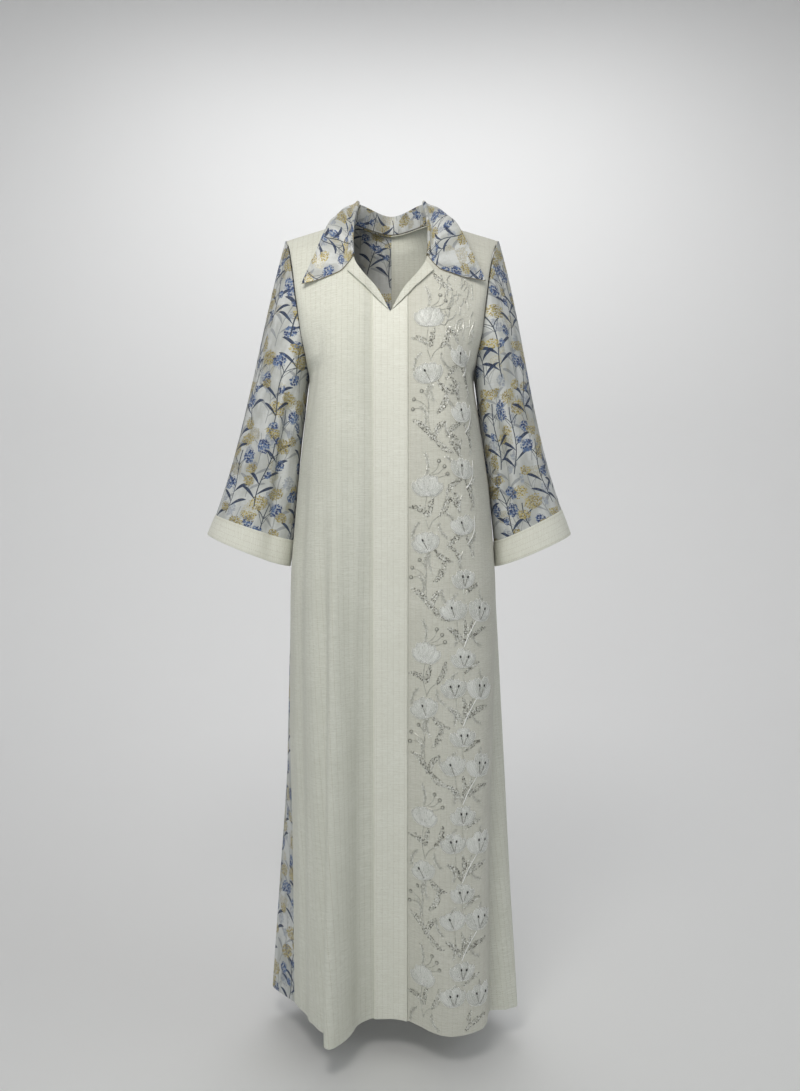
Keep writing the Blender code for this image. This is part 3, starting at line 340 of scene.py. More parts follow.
@dataclass
class Skin:
    """The outer face of one front or back, with its creases, between hem, side seam and shoulder."""

    side: Side
    face: Face
    creases: tuple[Crease, ...] = ()
    seam_dent: float = 0.0007
    seam_reach: float = 0.0035
    crease_fade: float = 0.3
    nudge: float = 1e-4
    mid_share: float = 0.3

    @property
    def name(self) -> str:
        """The name of the solid that this skin is the outer face of."""
        return f"{self.face.name}_{self.side.name}".lower()

    @cached_property
    def ups(self) -> np.ndarray:
        """How far up the cloth each row of the pattern lies."""
        return np.array([row.up for row in FRONT_ROWS[self.side]])

    @property
    def top(self) -> float:
        """How far up the cloth the shoulder seam lies."""
        return float(self.ups[-1])

    @property
    def underarm(self) -> float:
        """How far up the cloth the armhole starts."""
        return next(row.up for row in FRONT_ROWS[self.side] if row.height == UNDERARM)

    @cached_property
    def v_up(self) -> float:
        """How far up the cloth the point of the V lies."""
        return self.up_at(np.zeros(1), np.array([V_POINT]))[0]

    @cached_property
    def plans(self) -> tuple[tuple[float, ...], np.ndarray]:
        """The knots across the panel, and each row's places at them in plan."""
        rows = []
        for front, back in zip(FRONT_ROWS[self.side], BACK_ROWS[self.side]):
            arm = back.arm_y
            fronts, backs = np.reshape(front[4:], (-1, 2)), np.reshape(back[1:7], (-1, 2))
            if self.face is Face.FRONT:
                centre = ((-PLACKET_HALF, front.edge_y), (0.0, front.centre_y), (PLACKET_HALF, front.edge_y))
                beyond = backs[-1] if arm is None else (front.side_x, arm)
                rows.append((*centre, *fronts, beyond))
            else:
                centre = ((-back.crest_x, back.crest_y), (0.0, back.centre_y))
                seam = (front.side_x, front.side_y if arm is None else arm)
                beyond = (front.foot_x, front.foot_y if arm is None else front.side_y)
                rows.append((*centre, *backs, seam, beyond))
        if self.face is Face.FRONT:
            knots = (-FRONT_KNOTS[1], *FRONT_KNOTS, 2.0 - BACK_KNOTS[3])
        else:
            knots = (-BACK_KNOTS[1], *BACK_KNOTS, 2.0 - FRONT_KNOTS[4])
        return knots, np.array(rows)

    def bare(self, s: np.ndarray, up: np.ndarray) -> np.ndarray:
        """Places on the surface without creases, s across from the centre and up the cloth."""
        knots, plans = self.plans
        fronts = FRONT_ROWS[self.side]
        rows = []
        for front, plan in zip(fronts, plans):
            plane = curve(knots, plan[:, None, :], s)
            height = np.full(len(s), front.height)
            if front.height > 0:
                outward = np.maximum(plane[:, 0] - NECK_HALF, 0.0) / (fronts[-1].side_x - NECK_HALF)
                height = UNDERARM + front.height * (-SHOULDER_DROP * outward - UNDERARM)
            rows.append(np.column_stack([plane, height]))
        out = curve(self.ups, np.array(rows), up, end=(0.0, float(self.face.value), 0.0))
        out[:, 0] *= self.side.value
        return out

    def normal(self, s: np.ndarray, up: np.ndarray) -> np.ndarray:
        """The outward directions of the surface without creases."""
        s0, s1 = np.maximum(s - self.nudge, -0.05), np.minimum(s + self.nudge, 1.0)
        u0, u1 = np.maximum(up - self.nudge, 0.0), np.minimum(up + self.nudge, self.top)
        across = self.bare(s1, up) - self.bare(s0, up)
        along = self.bare(s, u1) - self.bare(s, u0)
        return units(np.cross(across, along)) * self.side.value * self.face.value

    @cached_property
    def width_table(self) -> tuple[np.ndarray, np.ndarray, np.ndarray]:
        """Heights up the cloth, shares across it, and how far along the cloth each share lies."""
        ups, shares = np.linspace(0.0, self.top, 145), np.linspace(0.0, 1.0, 121)
        grid_up, grid_s = np.meshgrid(ups, shares, indexing="ij")
        points = self.bare(grid_s.ravel(), grid_up.ravel()).reshape(len(ups), len(shares), 3)
        return ups, shares, runs_along(points)

    def run(self, s: np.ndarray, up: np.ndarray) -> np.ndarray:
        """How far along the cloth each share lies from the centre line, in metres."""
        ups, shares, runs = self.width_table
        i = np.clip(up / ups[1], 0, len(ups) - 1.001)
        j = np.clip(s / shares[1], 0, len(shares) - 1.001)
        a, b = i.astype(int), j.astype(int)
        f, g = i - a, j - b
        low, high = (runs[row, b] * (1 - g) + runs[row, b + 1] * g for row in (a, a + 1))
        return low * (1 - f) + high * f

    def share(self, run: np.ndarray, up: np.ndarray) -> np.ndarray:
        """How far across the panel, as a share, a distance along the cloth lies."""
        return halved(np.ones(len(run)), lambda s: self.run(s, up) < run, 24)

    def relief(self, s: np.ndarray, up: np.ndarray) -> np.ndarray:
        """How far the creases and the pulled-in seams lift the cloth off its plain surface."""
        run = self.run(s, up)
        total = np.zeros(len(s))
        for crease in self.creases:
            t = (up - crease.low) / (crease.high - crease.low)
            along = smooth(t / self.crease_fade) * smooth((1 - t) / self.crease_fade)
            line = self.run(np.clip(crease.share + crease.drift * np.clip(t, 0, 1), 0, 1), up)
            total += crease.deep * along * np.exp(-(((run - line) / crease.wide) ** 2))
        from_seams = [self.run(np.ones(len(s)), up) - run, self.top - up]
        if self.face is Face.BACK:
            from_seams.append(run)
        for away in from_seams:
            total -= self.seam_dent * np.exp(-((away / self.seam_reach) ** 2))
        return total

    def point(self, s: np.ndarray, up: np.ndarray, lift: np.ndarray | float = 0.0) -> np.ndarray:
        """Places on the creased surface, lifted off it."""
        out = self.relief(s, up) + lift
        return self.bare(s, up) + self.normal(s, up) * out[:, None]

    def up_at(self, s: np.ndarray, z: np.ndarray) -> np.ndarray:
        """How far up the cloth a height is, along lengthwise lines."""
        return halved(np.full(len(s), self.top), lambda up: self.bare(s, up)[:, 2] < z)

    def share_at(self, x: np.ndarray, up: np.ndarray) -> np.ndarray:
        """How far across the panel a distance from the centre lies."""
        return halved(np.ones(len(x)), lambda s: np.abs(self.bare(s, up)[:, 0]) < x)

    def place(self, x: np.ndarray, z: np.ndarray) -> tuple[np.ndarray, np.ndarray]:
        """Where on the panel (share, up) the points at distances from the centre and heights lie."""
        s = np.full(len(x), self.mid_share)
        up = self.up_at(s, z)
        for _ in range(4):
            s = self.share_at(x, up)
            up = self.up_at(s, z)
        return s, up

    def neck(self, up: np.ndarray) -> np.ndarray:
        """How far across a front its neck edge lies, or 0 below the V and on a back."""
        if self.face is Face.BACK:
            return np.zeros(len(up))
        z = self.bare(np.full(len(up), self.mid_share), up)[:, 2]
        return np.where(up > self.v_up + 1e-6, self.share_at(neck_x(np.clip(z, V_POINT, 0.0)), up), 0.0)

    def grid(self, ups: np.ndarray, columns: int) -> tuple[np.ndarray, np.ndarray]:
        """The shares and heights of the points of a grid from the neck edge to the side seam."""
        first = self.neck(ups)[:, None]
        shares = np.linspace(0.0, 1.0, columns)
        return (first + shares * (1.0 - first)).ravel(), np.repeat(ups, columns)


def neck_x(z: np.ndarray) -> np.ndarray:
    """How far from the centre the neck edge of a front lies at given heights."""
    return curve(NECK_HEIGHTS, np.array(NECK_XS)[:, None, None], z)[:, 0]


def placed(name: str, data: bpy.types.ID) -> bpy.types.Object:
    """Puts a new object with this data in the scene."""
    thing = bpy.data.objects.new(name, data)
    bpy.context.scene.collection.objects.link(thing)
    return thing


def new_object(name: str, bm: bmesh.types.BMesh, material: bpy.types.Material) -> bpy.types.Object:
    """Makes a bmesh an object of the scene, and frees it."""
    mesh = bpy.data.meshes.new(name)
    bm.to_mesh(mesh)
    bm.free()
    mesh.materials.append(material)
    return placed(name, mesh)


def cloth_grid(
    name: str, points: np.ndarray, places: np.ndarray, material: bpy.types.Material
) -> bpy.types.Object:
    """Lays a fine grid of cloth on an array of points.

    Args:
        name: The piece's name.
        points: Array of (rows, columns, 3). Where the last column or row repeats the first one,
            the cloth closes there.
        places: Array of (rows, columns, 2), each point's place on the flat cloth in metres.
        material: The cloth's finish.

    Returns:
        The open sheet, smooth shaded.
    """
    rows, columns = points.shape[:2]
    bm = bmesh.new()
    bmesh.ops.create_grid(bm, x_segments=columns - 1, y_segments=rows - 1, size=0.5)
    steps = (2 * (columns - 1), 2 * (rows - 1))
    order = sorted(bm.verts, key=lambda v: (round(v.co.y * steps[1]), round(v.co.x * steps[0])))
    flat = dict(zip((v.index for v in order), places.reshape(-1, 2)))
    layer = bm.loops.layers.uv.new("cloth")
    for face in bm.faces:
        face.smooth = True
        for loop in face.loops:
            loop[layer].uv = flat[loop.vert.index]
    for vert, point in zip(order, points.reshape(-1, 3)):
        vert.co = point
    bmesh.ops.remove_doubles(bm, verts=bm.verts, dist=1e-6)
    return new_object(name, bm, material)


def turned_out(piece: bpy.types.Object, axis: Sequence[float] = (0.0, 0.0, 0.0)) -> bpy.types.Object:
    """Turns an open sheet's faces away from the upright line through a point."""
    middle = Vector(axis[:2])
    faces = piece.data.polygons
    if sum(face.area * face.normal.xy.dot(face.center.xy - middle) for face in faces) < 0:
        piece.data.flip_normals()
    return piece


def walled(
    piece: bpy.types.Object,
    thickness: float,
    round_edges: float = 0.0,
    edging: bpy.types.Material | None = None,
) -> bpy.types.Object:
    """Gives a sheet its thickness, inwards from its outer face.

    Args:
        piece: The open sheet.
        thickness: The wall's thickness.
        round_edges: How far its edges are rounded, if they are.
        edging: The finish of its cut edge, where that is another one.

    Returns:
        The same object with its wall.
    """
    wall = piece.modifiers.new("wall", "SOLIDIFY")
    wall.thickness = thickness
    wall.offset = -1.0
    wall.use_rim = True
    if edging is not None:
        piece.data.materials.append(edging)
        wall.material_offset_rim = 1
    if round_edges:
        edge = piece.modifiers.new("edge", "BEVEL")
        edge.width = round_edges
        edge.segments = 2
        edge.limit_method = "ANGLE"
        edge.angle_limit = math.radians(60)
    seen = bpy.context.evaluated_depsgraph_get()
    mesh = bpy.data.meshes.new_from_object(piece.evaluated_get(seen))
    piece.modifiers.clear()
    old, piece.data = piece.data, mesh
    mesh.name = piece.name
    bpy.data.meshes.remove(old)
    mesh.shade_smooth()
    mesh.set_sharp_from_angle(angle=math.radians(55))
    return piece


@dataclass(frozen=True)
class Wire:
    """A value in a node tree, which sums and products can be written with."""

    tree: bpy.types.NodeTree
    socket: bpy.types.NodeSocket

    def node(self, kind: str, inputs: dict[str | int, object], **settings: object) -> bpy.types.Node:
        """Adds a node, with its settings, and with wires, numbers or colours at its named inputs."""
        node = self.tree.nodes.new("ShaderNode" + kind)
        for name, value in settings.items():
            setattr(node, name, value)
        for name, value in inputs.items():
            slot = node.inputs[name]
            if isinstance(value, Wire):
                self.tree.links.new(value.socket, slot)
            else:
                slot.default_value = (*value, 1.0) if slot.type == "RGBA" else value
        return node

    def math(self, operation: str, *others: "Wire | float") -> "Wire":
        """The result of a maths node on this value and others."""
        node = self.node("Math", dict(enumerate((self, *others))), operation=operation)
        return Wire(self.tree, node.outputs[0])

    __add__ = partialmethod(math, "ADD")
    __sub__ = partialmethod(math, "SUBTRACT")
    __mul__ = partialmethod(math, "MULTIPLY")
    __truediv__ = partialmethod(math, "DIVIDE")
    __mod__ = partialmethod(math, "FLOORED_MODULO")
    __abs__ = partialmethod(math, "ABSOLUTE")
    # These two give 1 where they hold, otherwise 0
    under = partialmethod(math, "LESS_THAN")
    over = partialmethod(math, "GREATER_THAN")
    most = partialmethod(math, "MAXIMUM")
    least = partialmethod(math, "MINIMUM")
    sine = partialmethod(math, "SINE")
    floor = partialmethod(math, "FLOOR")

    def ease(self, low: float, high: float) -> "Wire":
        """Rises smoothly from 0 at low to 1 at high, or falls if high is the lower one."""
        ends = {"Value": self, "From Min": low, "From Max": high}
        return Wire(self.tree, self.node("MapRange", ends, interpolation_type="SMOOTHSTEP").outputs["Result"])

    def spread(self, low: float, high: float) -> "Wire":
        """This value from 0 to 1, spread evenly from low to high."""
        return self * (high - low) + low

    def mixed(self, first: "Wire | Colour", second: "Wire | Colour") -> "Wire":
        """A colour between two, by this value from 0 to 1."""
        node = self.node("Mix", {"Factor": self, 6: first, 7: second}, data_type="RGBA")
        return Wire(self.tree, node.outputs[2])

    def parts(self) -> tuple["Wire", "Wire", "Wire"]:
        """The three numbers of a vector or colour."""
        return tuple(Wire(self.tree, out) for out in self.node("SeparateXYZ", {"Vector": self}).outputs)

    def beside(self, y: "Wire | float", z: "Wire | float" = 0.0) -> "Wire":
        """The vector of this value and others."""
        return Wire(self.tree, self.node("CombineXYZ", {"X": self, "Y": y, "Z": z}).outputs[0])

    def noise(self, scale: float, detail: float = 2.0, roughness: float = 0.5) -> "Wire":
        """Soft noise from 0 to 1 at this vector."""
        inputs = {"Vector": self, "Scale": scale, "Detail": detail, "Roughness": roughness}
        return Wire(self.tree, self.node("TexNoise", inputs).outputs["Fac"])

    def chance(self) -> tuple["Wire", "Wire", "Wire"]:
        """Three chance numbers from 0 to 1, fixed for each value of this vector."""
        return Wire(self.tree, self.node("TexWhiteNoise", {"Vector": self}).outputs["Color"]).parts()

    def dots(self, pitch: float, loose: float) -> tuple["Wire", "Wire"]:
        """Scattered dots at a mean pitch: the distance from the nearest one, and its chance colour."""
        inputs = {"Vector": self, "Scale": 1.0 / pitch, "Randomness": loose}
        node = self.node("TexVoronoi", inputs, voronoi_dimensions="2D")
        return Wire(self.tree, node.outputs["Distance"]) * pitch, Wire(self.tree, node.outputs["Color"])

    def group(self, tree: bpy.types.NodeTree, **values: float) -> dict[str, "Wire"]:
        """Puts a node group into a material at this flat place, and returns its outputs."""
        node = self.node("Group", {"Place": self, **values}, node_tree=tree)
        return {out.name: Wire(self.tree, out) for out in node.outputs}


def lead(target: bpy.types.Node, **wires: Wire) -> None:
    """Leads wires into a node's inputs, whose names are written with _ for a space."""
    for name, wire in wires.items():
        wire.tree.links.new(wire.socket, target.inputs[name.replace("_", " ")])


def node_group(
    name: str, inputs: dict[str, float], outputs: Sequence[str]
) -> tuple[bpy.types.NodeTree, dict[str, Wire], bpy.types.Node]:
    """Starts a node group that reads a flat place in millimetres.

    Args:
        name: The group's name.
        inputs: Its number inputs, with the values that they start from.
        outputs: Its outputs. One whose name ends in Colour is a colour.

    Returns:
        The tree, its inputs as wires, and the node that its outputs go to.
    """
    tree = bpy.data.node_groups.new(name, "ShaderNodeTree")
    tree.interface.new_socket("Place", in_out="INPUT", socket_type="NodeSocketVector")
    for label, value in inputs.items():
        socket = tree.interface.new_socket(label, in_out="INPUT", socket_type="NodeSocketFloat")
        socket.default_value = value
    for label in outputs:
        kind = "NodeSocketColor" if label.endswith("Colour") else "NodeSocketFloat"
        tree.interface.new_socket(label, in_out="OUTPUT", socket_type=kind)
    entry, leave = tree.nodes.new("NodeGroupInput"), tree.nodes.new("NodeGroupOutput")
    return tree, {out.name: Wire(tree, out) for out in entry.outputs if out.name}, leave


def weave_group() -> bpy.types.NodeTree:
    """The crinkled slub weave with its fine upright dotted metallic stripes.

    Returns:
        A group that puts out Height, Shade (the slubs and crinkles, from 0 to 1), Stripe, Glint (the
        metallic dashes) and Speck.
    """
    inputs = {"Pitch": 9.5, "Crinkle": 1.0}
    tree, given, leave = node_group("slub weave", inputs, ("Height", "Shade", "Stripe", "Glint", "Speck"))
    place = given["Place"]
    u, v, _ = place.parts()
    wander = (v * 0.004).beside(u * 0.05).noise(1.0, 1.0)
    across = (u + (wander - 0.5) * 1.4) / given["Pitch"]
    off = abs((across % 1.0) - 0.5) * given["Pitch"]
    stripe = off.ease(0.50, 0.20)
    dash = ((v + across.floor().beside(7.0).chance()[0] * 5.0) % 3.4).under(1.5)
    slub = (u * 0.035).beside(v * 0.85).noise(1.0, 3.0, 0.6)
    crinkle = (u * 0.16).beside(v * 0.42).noise(1.0, 3.0, 0.55)
    warp = (u * 1.9).beside(v * 0.06).noise(1.0, 1.0)
    thread = (v * 2.6).sine() * 0.5 + (u * 2.6).sine() * 0.5
    near, tint = place.dots(7.5, 1.0)
    lead(
        leave,
        Height=crinkle * given["Crinkle"] * 1.2 + slub * 0.5 + warp * 0.25 + thread * 0.05 + stripe * 0.18,
        Shade=slub * 0.5 + crinkle * 0.3 + warp * 0.2,
        Stripe=stripe,
        Glint=stripe * dash,
        Speck=near.under(0.42) * tint.parts()[0].over(0.62),
    )
    return tree


# The dotted heads of a printed sprig, in millimetres from its foot: across, along, radius and flatness
UMBELS = ((20.0, 114.0, 16.5, 1.25), (-3.0, 135.0, 14.0, 1.2), (-27.0, 66.0, 10.5, 1.2))
BLOSSOMS = ((-19.0, 107.0, 12.0, 1.0), (24.0, 80.0, 9.5, 0.9), (7.0, 60.0, 6.0, 0.8))


def sprig_group() -> bpy.types.NodeTree:
    """One layer of printed flower sprigs, each growing up from long curved leaves to dotted heads.

    Returns:
        A group that puts out its ink's Colour, how much ink there is, and the golden part of it.
    """
    inputs = {"Across": 75.0, "Along": 165.0, "Shift": 0.0, "Seed": 0.0}
    tree, given, leave = node_group("flower sprigs", inputs, ("Ink Colour", "Ink", "Gold"))
    place, across, along, shift, seed = (given[name] for name in ("Place", *inputs))
    u, v, _ = place.parts()
    u = u + shift
    column = (u / across).floor()
    raised = v + (column % 2.0) * along * 0.5 + shift
    row = (raised / along).floor()
    turn, lean, other = (column + seed).beside(row + seed, seed).chance()
    x = (u - (column + 0.5) * across) * turn.over(0.5).spread(-1.0, 1.0)
    y = raised - row * along - 8.0
    x = x - (lean - 0.5) * 0.30 * (y - 40.0)
    p = x - ((y * 0.045) + other * 6.0).sine() * 5.0
    q = abs(p)

    # The stem and its forks
    stem = q.under(0.90) * y.over(2.0) * y.under(116.0)
    upper = abs((y - 88.0) - (q * 1.5 - q * q * 0.04)).under(0.95) * q.under(16.0)
    fork = abs(y - 78.0 - (q * 2.0 - q * q * 0.022)).under(0.8) * q.under(19.0)
    line = stem.most(fork).most(upper)

    # The arched leaves, on one side of the stem and then on the other
    w = y - (q * 1.25 - q * q * 0.021)
    slot = (w - p.over(0.0) * 9.0) % 27.0 - 13.5
    long = other.spread(25.0, 33.0)
    fat = ((q / long).least(1.0) * math.pi).sine().math("POWER", 0.75) * 2.7
    leaf = abs(slot).under(fat * 1.15) * w.over(8.0) * w.under(64.0) * q.under(long)

    def heads(sizes: Sequence[tuple[float, float, float, float]]) -> Wire:
        """How near the nearest head's middle is, as a share of its radius."""
        nearest = None
        for cx, cy, radius, flat in sizes:
            dx, dy = p - cx, (y - cy) * flat
            near = (dx * dx + dy * dy).math("SQRT") / radius
            nearest = near if nearest is None else nearest.least(near)
        return nearest

    # The heads, golden or blue, with ragged edges and a dotted grain
    ragged = place.noise(0.22, 3.0, 0.6) * 1.1 + 0.42
    golden, bluish = heads(UMBELS).under(ragged), heads(BLOSSOMS).under(ragged)
    (gold, gold_tint), (blue, tint) = place.dots(3.0, 0.85), place.dots(3.9, 0.85)
    floret, bud = gold.ease(1.50, 1.15), blue.ease(2.10, 1.75)
    light = tint.parts()[1]
    navy = light.mixed((0.024, 0.034, 0.070), (0.050, 0.075, 0.140))
    slate = light.mixed((0.060, 0.075, 0.105), (0.045, 0.058, 0.085))
    petals = light.ease(0.25, 0.80).mixed((0.028, 0.052, 0.150), (0.110, 0.175, 0.330))
    royal = bud.mixed((0.20, 0.25, 0.36), petals)
    grain = gold_tint.parts()[0].mixed((0.22, 0.165, 0.045), (0.56, 0.47, 0.19))
    ochre = floret.mixed((0.40, 0.36, 0.22), grain)
    ink = leaf.mixed(line.mixed(royal, slate), navy)
    full = leaf.most(line).most(golden * floret.spread(0.25, 1.0)).most(bluish * bud.spread(0.35, 1.0))
    lead(leave, Ink_Colour=golden.mixed(bluish.mixed(ink, royal), ochre), Ink=full, Gold=golden)
    return tree


def new_material(name: str, **values: float | Sequence[float]) -> tuple[bpy.types.Material, bpy.types.Node]:
    """A material and its shader, with values at the shader's own sockets."""
    material = bpy.data.materials.new(name)
    material.use_nodes = True
    shader = material.node_tree.nodes["Principled BSDF"]
    for socket, value in values.items():
        shader.inputs[socket.replace("_", " ")].default_value = value
    return material, shader


@dataclass(frozen=True)
class Finish:
    """What every cloth's finish has: its name, its stripes' pitch, and how crinkled and raised it is.

    Its roughness is given for plain threads, and for those whose metal share is full_metal.
    """

    name: str
    pitch: float = 9.5
    crinkle: float = 1.0
    full_metal: float = 0.6
    roughness: tuple[float, float] = (0.88, 0.42)
    relief: float = 0.55

    def start(
        self, weave: bpy.types.NodeTree
    ) -> tuple[bpy.types.Material, bpy.types.Node, Wire, dict[str, Wire]]:
        """Starts the material: it, its shader, its flat place in millimetres, and its weave's outputs."""
        material, shader = new_material(
            self.name, Sheen_Weight=0.12, Sheen_Roughness=0.45, Specular_IOR_Level=0.3
        )
        chart = material.node_tree.nodes.new("ShaderNodeUVMap")
        chart.uv_map = "cloth"
        metres = Wire(material.node_tree, chart.outputs["UV"])
        sized = metres.node("VectorMath", {0: metres}, operation="SCALE")
        sized.inputs["Scale"].default_value = 1 / MM
        place = Wire(material.node_tree, sized.outputs["Vector"])
        return material, shader, place, place.group(weave, Pitch=self.pitch, Crinkle=self.crinkle)

    def end(self, shader: bpy.types.Node, colour: Wire, metal: Wire, height: Wire) -> None:
        """Leads the cloth's colour, metallic threads and relief into its shader."""
        rough = metal.ease(0.0, self.full_metal).spread(*self.roughness)
        bump = height.node("Bump", {"Height": height, "Strength": self.relief, "Distance": 0.0006})
        normal = Wire(height.tree, bump.outputs["Normal"])
        lead(shader, Base_Color=colour, Metallic=metal.least(1.0), Roughness=rough, Normal=normal)


@dataclass(frozen=True, kw_only=True)
class WovenFinish(Finish):
    """A cream cloth: its light and shaded threads, and how strongly it is striped."""

    light: Colour
    shade: Colour
    stripe: float

    def make(self, weave: bpy.types.NodeTree) -> bpy.types.Material:
        """The cloth's material, which reads the piece's flat place from its map."""
        material, shader, place, parts = self.start(weave)
        thread = parts["Shade"].ease(0.34, 0.66).mixed(self.shade, self.light)
        patch = place.noise(0.012, 2.0).ease(0.35, 0.65)
        worn = (patch * 0.30).mixed(thread, self.shade)
        striped = (parts["Stripe"] * (self.stripe * 0.6)).mixed(worn, (0.56, 0.51, 0.42))
        dashed = (parts["Glint"] * (self.stripe * 4.0)).mixed(striped, (0.34, 0.27, 0.17))
        speckled = (parts["Speck"] * 0.55).mixed(dashed, (0.33, 0.29, 0.22))
        self.end(shader, speckled, parts["Glint"] * self.stripe + parts["Speck"] * 0.4, parts["Height"])
        return material


@dataclass(frozen=True)
class PrintedFinish(Finish):
    """The printed cloth: its pale ground, a warm painted shade strewn over it, and its layers of sprigs.

    A layer gives its shift, its seed, the sprigs' pitch across and along, and its strength.
    """

    ground: Colour = (0.67, 0.69, 0.70)
    cool: Colour = (0.48, 0.50, 0.50)
    painted_shade: Colour = (0.42, 0.39, 0.28)
    layers: tuple[tuple[float, ...], ...] = (
        (19.0, 23.0, 58.0, 131.0, 0.42),
        (0.0, 3.0, 75.0, 165.0, 1.0),
        (38.0, 11.0, 81.0, 148.0, 1.0),
    )

    def make(self, weave: bpy.types.NodeTree, sprigs: bpy.types.NodeTree) -> bpy.types.Material:
        """The cloth's material, which reads the piece's flat place from its map."""
        material, shader, place, parts = self.start(weave)
        u, v, _ = place.parts()
        cloud = (u * 0.03).beside(v * 0.012).noise(1.0, 3.0, 0.6)
        base = cloud.ease(0.40, 0.62).mixed(self.cool, self.ground)
        # A warm painted shade, in soft patches where the cloud noise is low
        base = (cloud.ease(0.42, 0.30) * 0.5).mixed(base, self.painted_shade)
        # More of the warm painted shade where the weave's slubs and crinkles are low
        base = (parts["Shade"].ease(0.66, 0.38) * 0.22).mixed(base, self.painted_shade)
        gold = None
        for shift, seed, across, along, strength in self.layers:
            layer = place.group(sprigs, Across=across, Along=along, Shift=shift, Seed=seed)
            faded = layer["Ink"] * parts["Shade"].ease(0.30, 0.48).spread(0.70 * strength, 0.97 * strength)
            base = faded.mixed(base, layer["Ink Colour"])
            gold = layer["Gold"] if gold is None else gold.most(layer["Gold"])
        base = (parts["Stripe"] * 0.10).mixed(base, (0.42, 0.36, 0.26))
        self.end(shader, base, (gold * 0.35).most(parts["Speck"] * 0.5), parts["Height"] + gold * 0.25)
        return material


@dataclass
class Cloths:
    """The finishes of the garment's cloths."""

    cream: bpy.types.Material
    ground: bpy.types.Material
    band: bpy.types.Material
    print: bpy.types.Material
    edging: bpy.types.Material


def tinted_material(
    name: str, tints: Sequence[tuple[float, Colour]], metallic: float, roughness: float
) -> bpy.types.Material:
    """A shiny finish for small sewn things, whose colour follows each one's tint."""
    material, shader = new_material(name, Metallic=metallic, Roughness=roughness)
    tree = material.node_tree
    read = tree.nodes.new("ShaderNodeAttribute")
    read.attribute_name = "tint"
    ramp = tree.nodes.new("ShaderNodeValToRGB")
    while len(ramp.color_ramp.elements) < len(tints):
        ramp.color_ramp.elements.new(0.5)
    for element, (place, colour) in zip(ramp.color_ramp.elements, tints):
        element.position, element.color = place, (*colour, 1.0)
    lead(ramp, Fac=Wire(tree, read.outputs["Fac"]))
    lead(shader, Base_Color=Wire(tree, ramp.outputs["Color"]))
    return material


class Shape(NamedTuple):
    """A small shape that is sewn on many times over, about 1 wide, long and tall, in triangles."""

    points: np.ndarray
    triangles: np.ndarray


def shape_of(bm: bmesh.types.BMesh) -> Shape:
    """Takes a shape out of a bmesh, which it frees."""
    bmesh.ops.triangulate(bm, faces=bm.faces)
    bm.verts.index_update()
    points = np.array([v.co[:] for v in bm.verts])
    triangles = np.array([[v.index for v in face.verts] for face in bm.faces])
    bm.free()
    return Shape(points, triangles)


def round_bead(segments: int = 4, rings: int = 2) -> Shape:
    """A round bead with few faces."""
    bm = bmesh.new()
    bmesh.ops.create_uvsphere(bm, u_segments=segments, v_segments=rings, radius=0.5)
    return shape_of(bm)


def sequin() -> Shape:
    """A disc that rises a little to its middle."""
    bm = bmesh.new()
    bmesh.ops.create_cone(bm, cap_ends=True, segments=5, radius1=0.5, radius2=0.12, depth=1.0)
    return shape_of(bm)


def tube_bead() -> Shape:
    """A short tube that lies lengthwise."""
    bm = bmesh.new()
    bmesh.ops.create_cone(bm, cap_ends=True, segments=4, radius1=0.5, radius2=0.5, depth=1.0)
    turn = Vector((0, 0, 1)).rotation_difference(Vector((0, 1, 0))).to_matrix()
    bmesh.ops.rotate(bm, cent=(0, 0, 0), matrix=turn, verts=bm.verts)
    return shape_of(bm)


@dataclass
class Sewn:
    """Small things gathered into one joined mesh, each with a tint from 0 to 1."""

    parts: list[tuple[np.ndarray, np.ndarray, np.ndarray]] = field(default_factory=list)
    count: int = 0

    def add(self, points: np.ndarray, triangles: np.ndarray, tints: np.ndarray) -> None:
        """Adds copies of one shape.

        Args:
            points: Array of (copies, points, 3).
            triangles: The shape's triangles.
            tints: One for each copy.
        """
        copies, size = points.shape[:2]
        first = self.count + np.arange(copies) * size
        corners = (triangles[None] + first[:, None, None]).reshape(-1, 3)
        self.parts.append((points.reshape(-1, 3), corners, np.repeat(tints, size)))
        self.count += copies * size

    def make(self, name: str, material: bpy.types.Material, smooth_faces: bool = True) -> bpy.types.Object:
        """Makes the joined mesh an object of the scene."""
        points, triangles, tints = (np.concatenate(kind) for kind in zip(*self.parts))
        mesh = bpy.data.meshes.new(name)
        mesh.vertices.add(len(points))
        mesh.vertices.foreach_set("co", points.ravel())
        mesh.loops.add(triangles.size)
        mesh.loops.foreach_set("vertex_index", triangles.ravel().astype(np.int32))
        mesh.polygons.add(len(triangles))
        mesh.polygons.foreach_set("loop_start", np.arange(0, triangles.size, 3, dtype=np.int32))
        mesh.attributes.new("tint", "FLOAT", "POINT").data.foreach_set("value", tints)
        mesh.update(calc_edges=True)
        mesh.polygons.foreach_set("use_smooth", np.full(len(triangles), smooth_faces))
        mesh.materials.append(material)
        return placed(name, mesh)

    def strew(
        self,
        shape: Shape,
        centre: np.ndarray,
        ahead: np.ndarray,
        outward: np.ndarray,
        sizes: np.ndarray,
        tints: np.ndarray,
    ) -> None:
        """Adds copies of a shape at many places.

        Args:
            shape: The shape.
            centre: Where each copy's middle lies.
            ahead: The direction that each copy's length takes.
            outward: The direction that each copy's height takes.
            sizes: Array of (copies, 3), each one's width, length and height.
            tints: Each one's tint.
        """
        axes = np.stack([np.cross(ahead, outward), ahead, outward], axis=1)
        points = centre[:, None] + shape.points @ (axes * sizes[:, :, None])
        self.add(points, shape.triangles, tints)


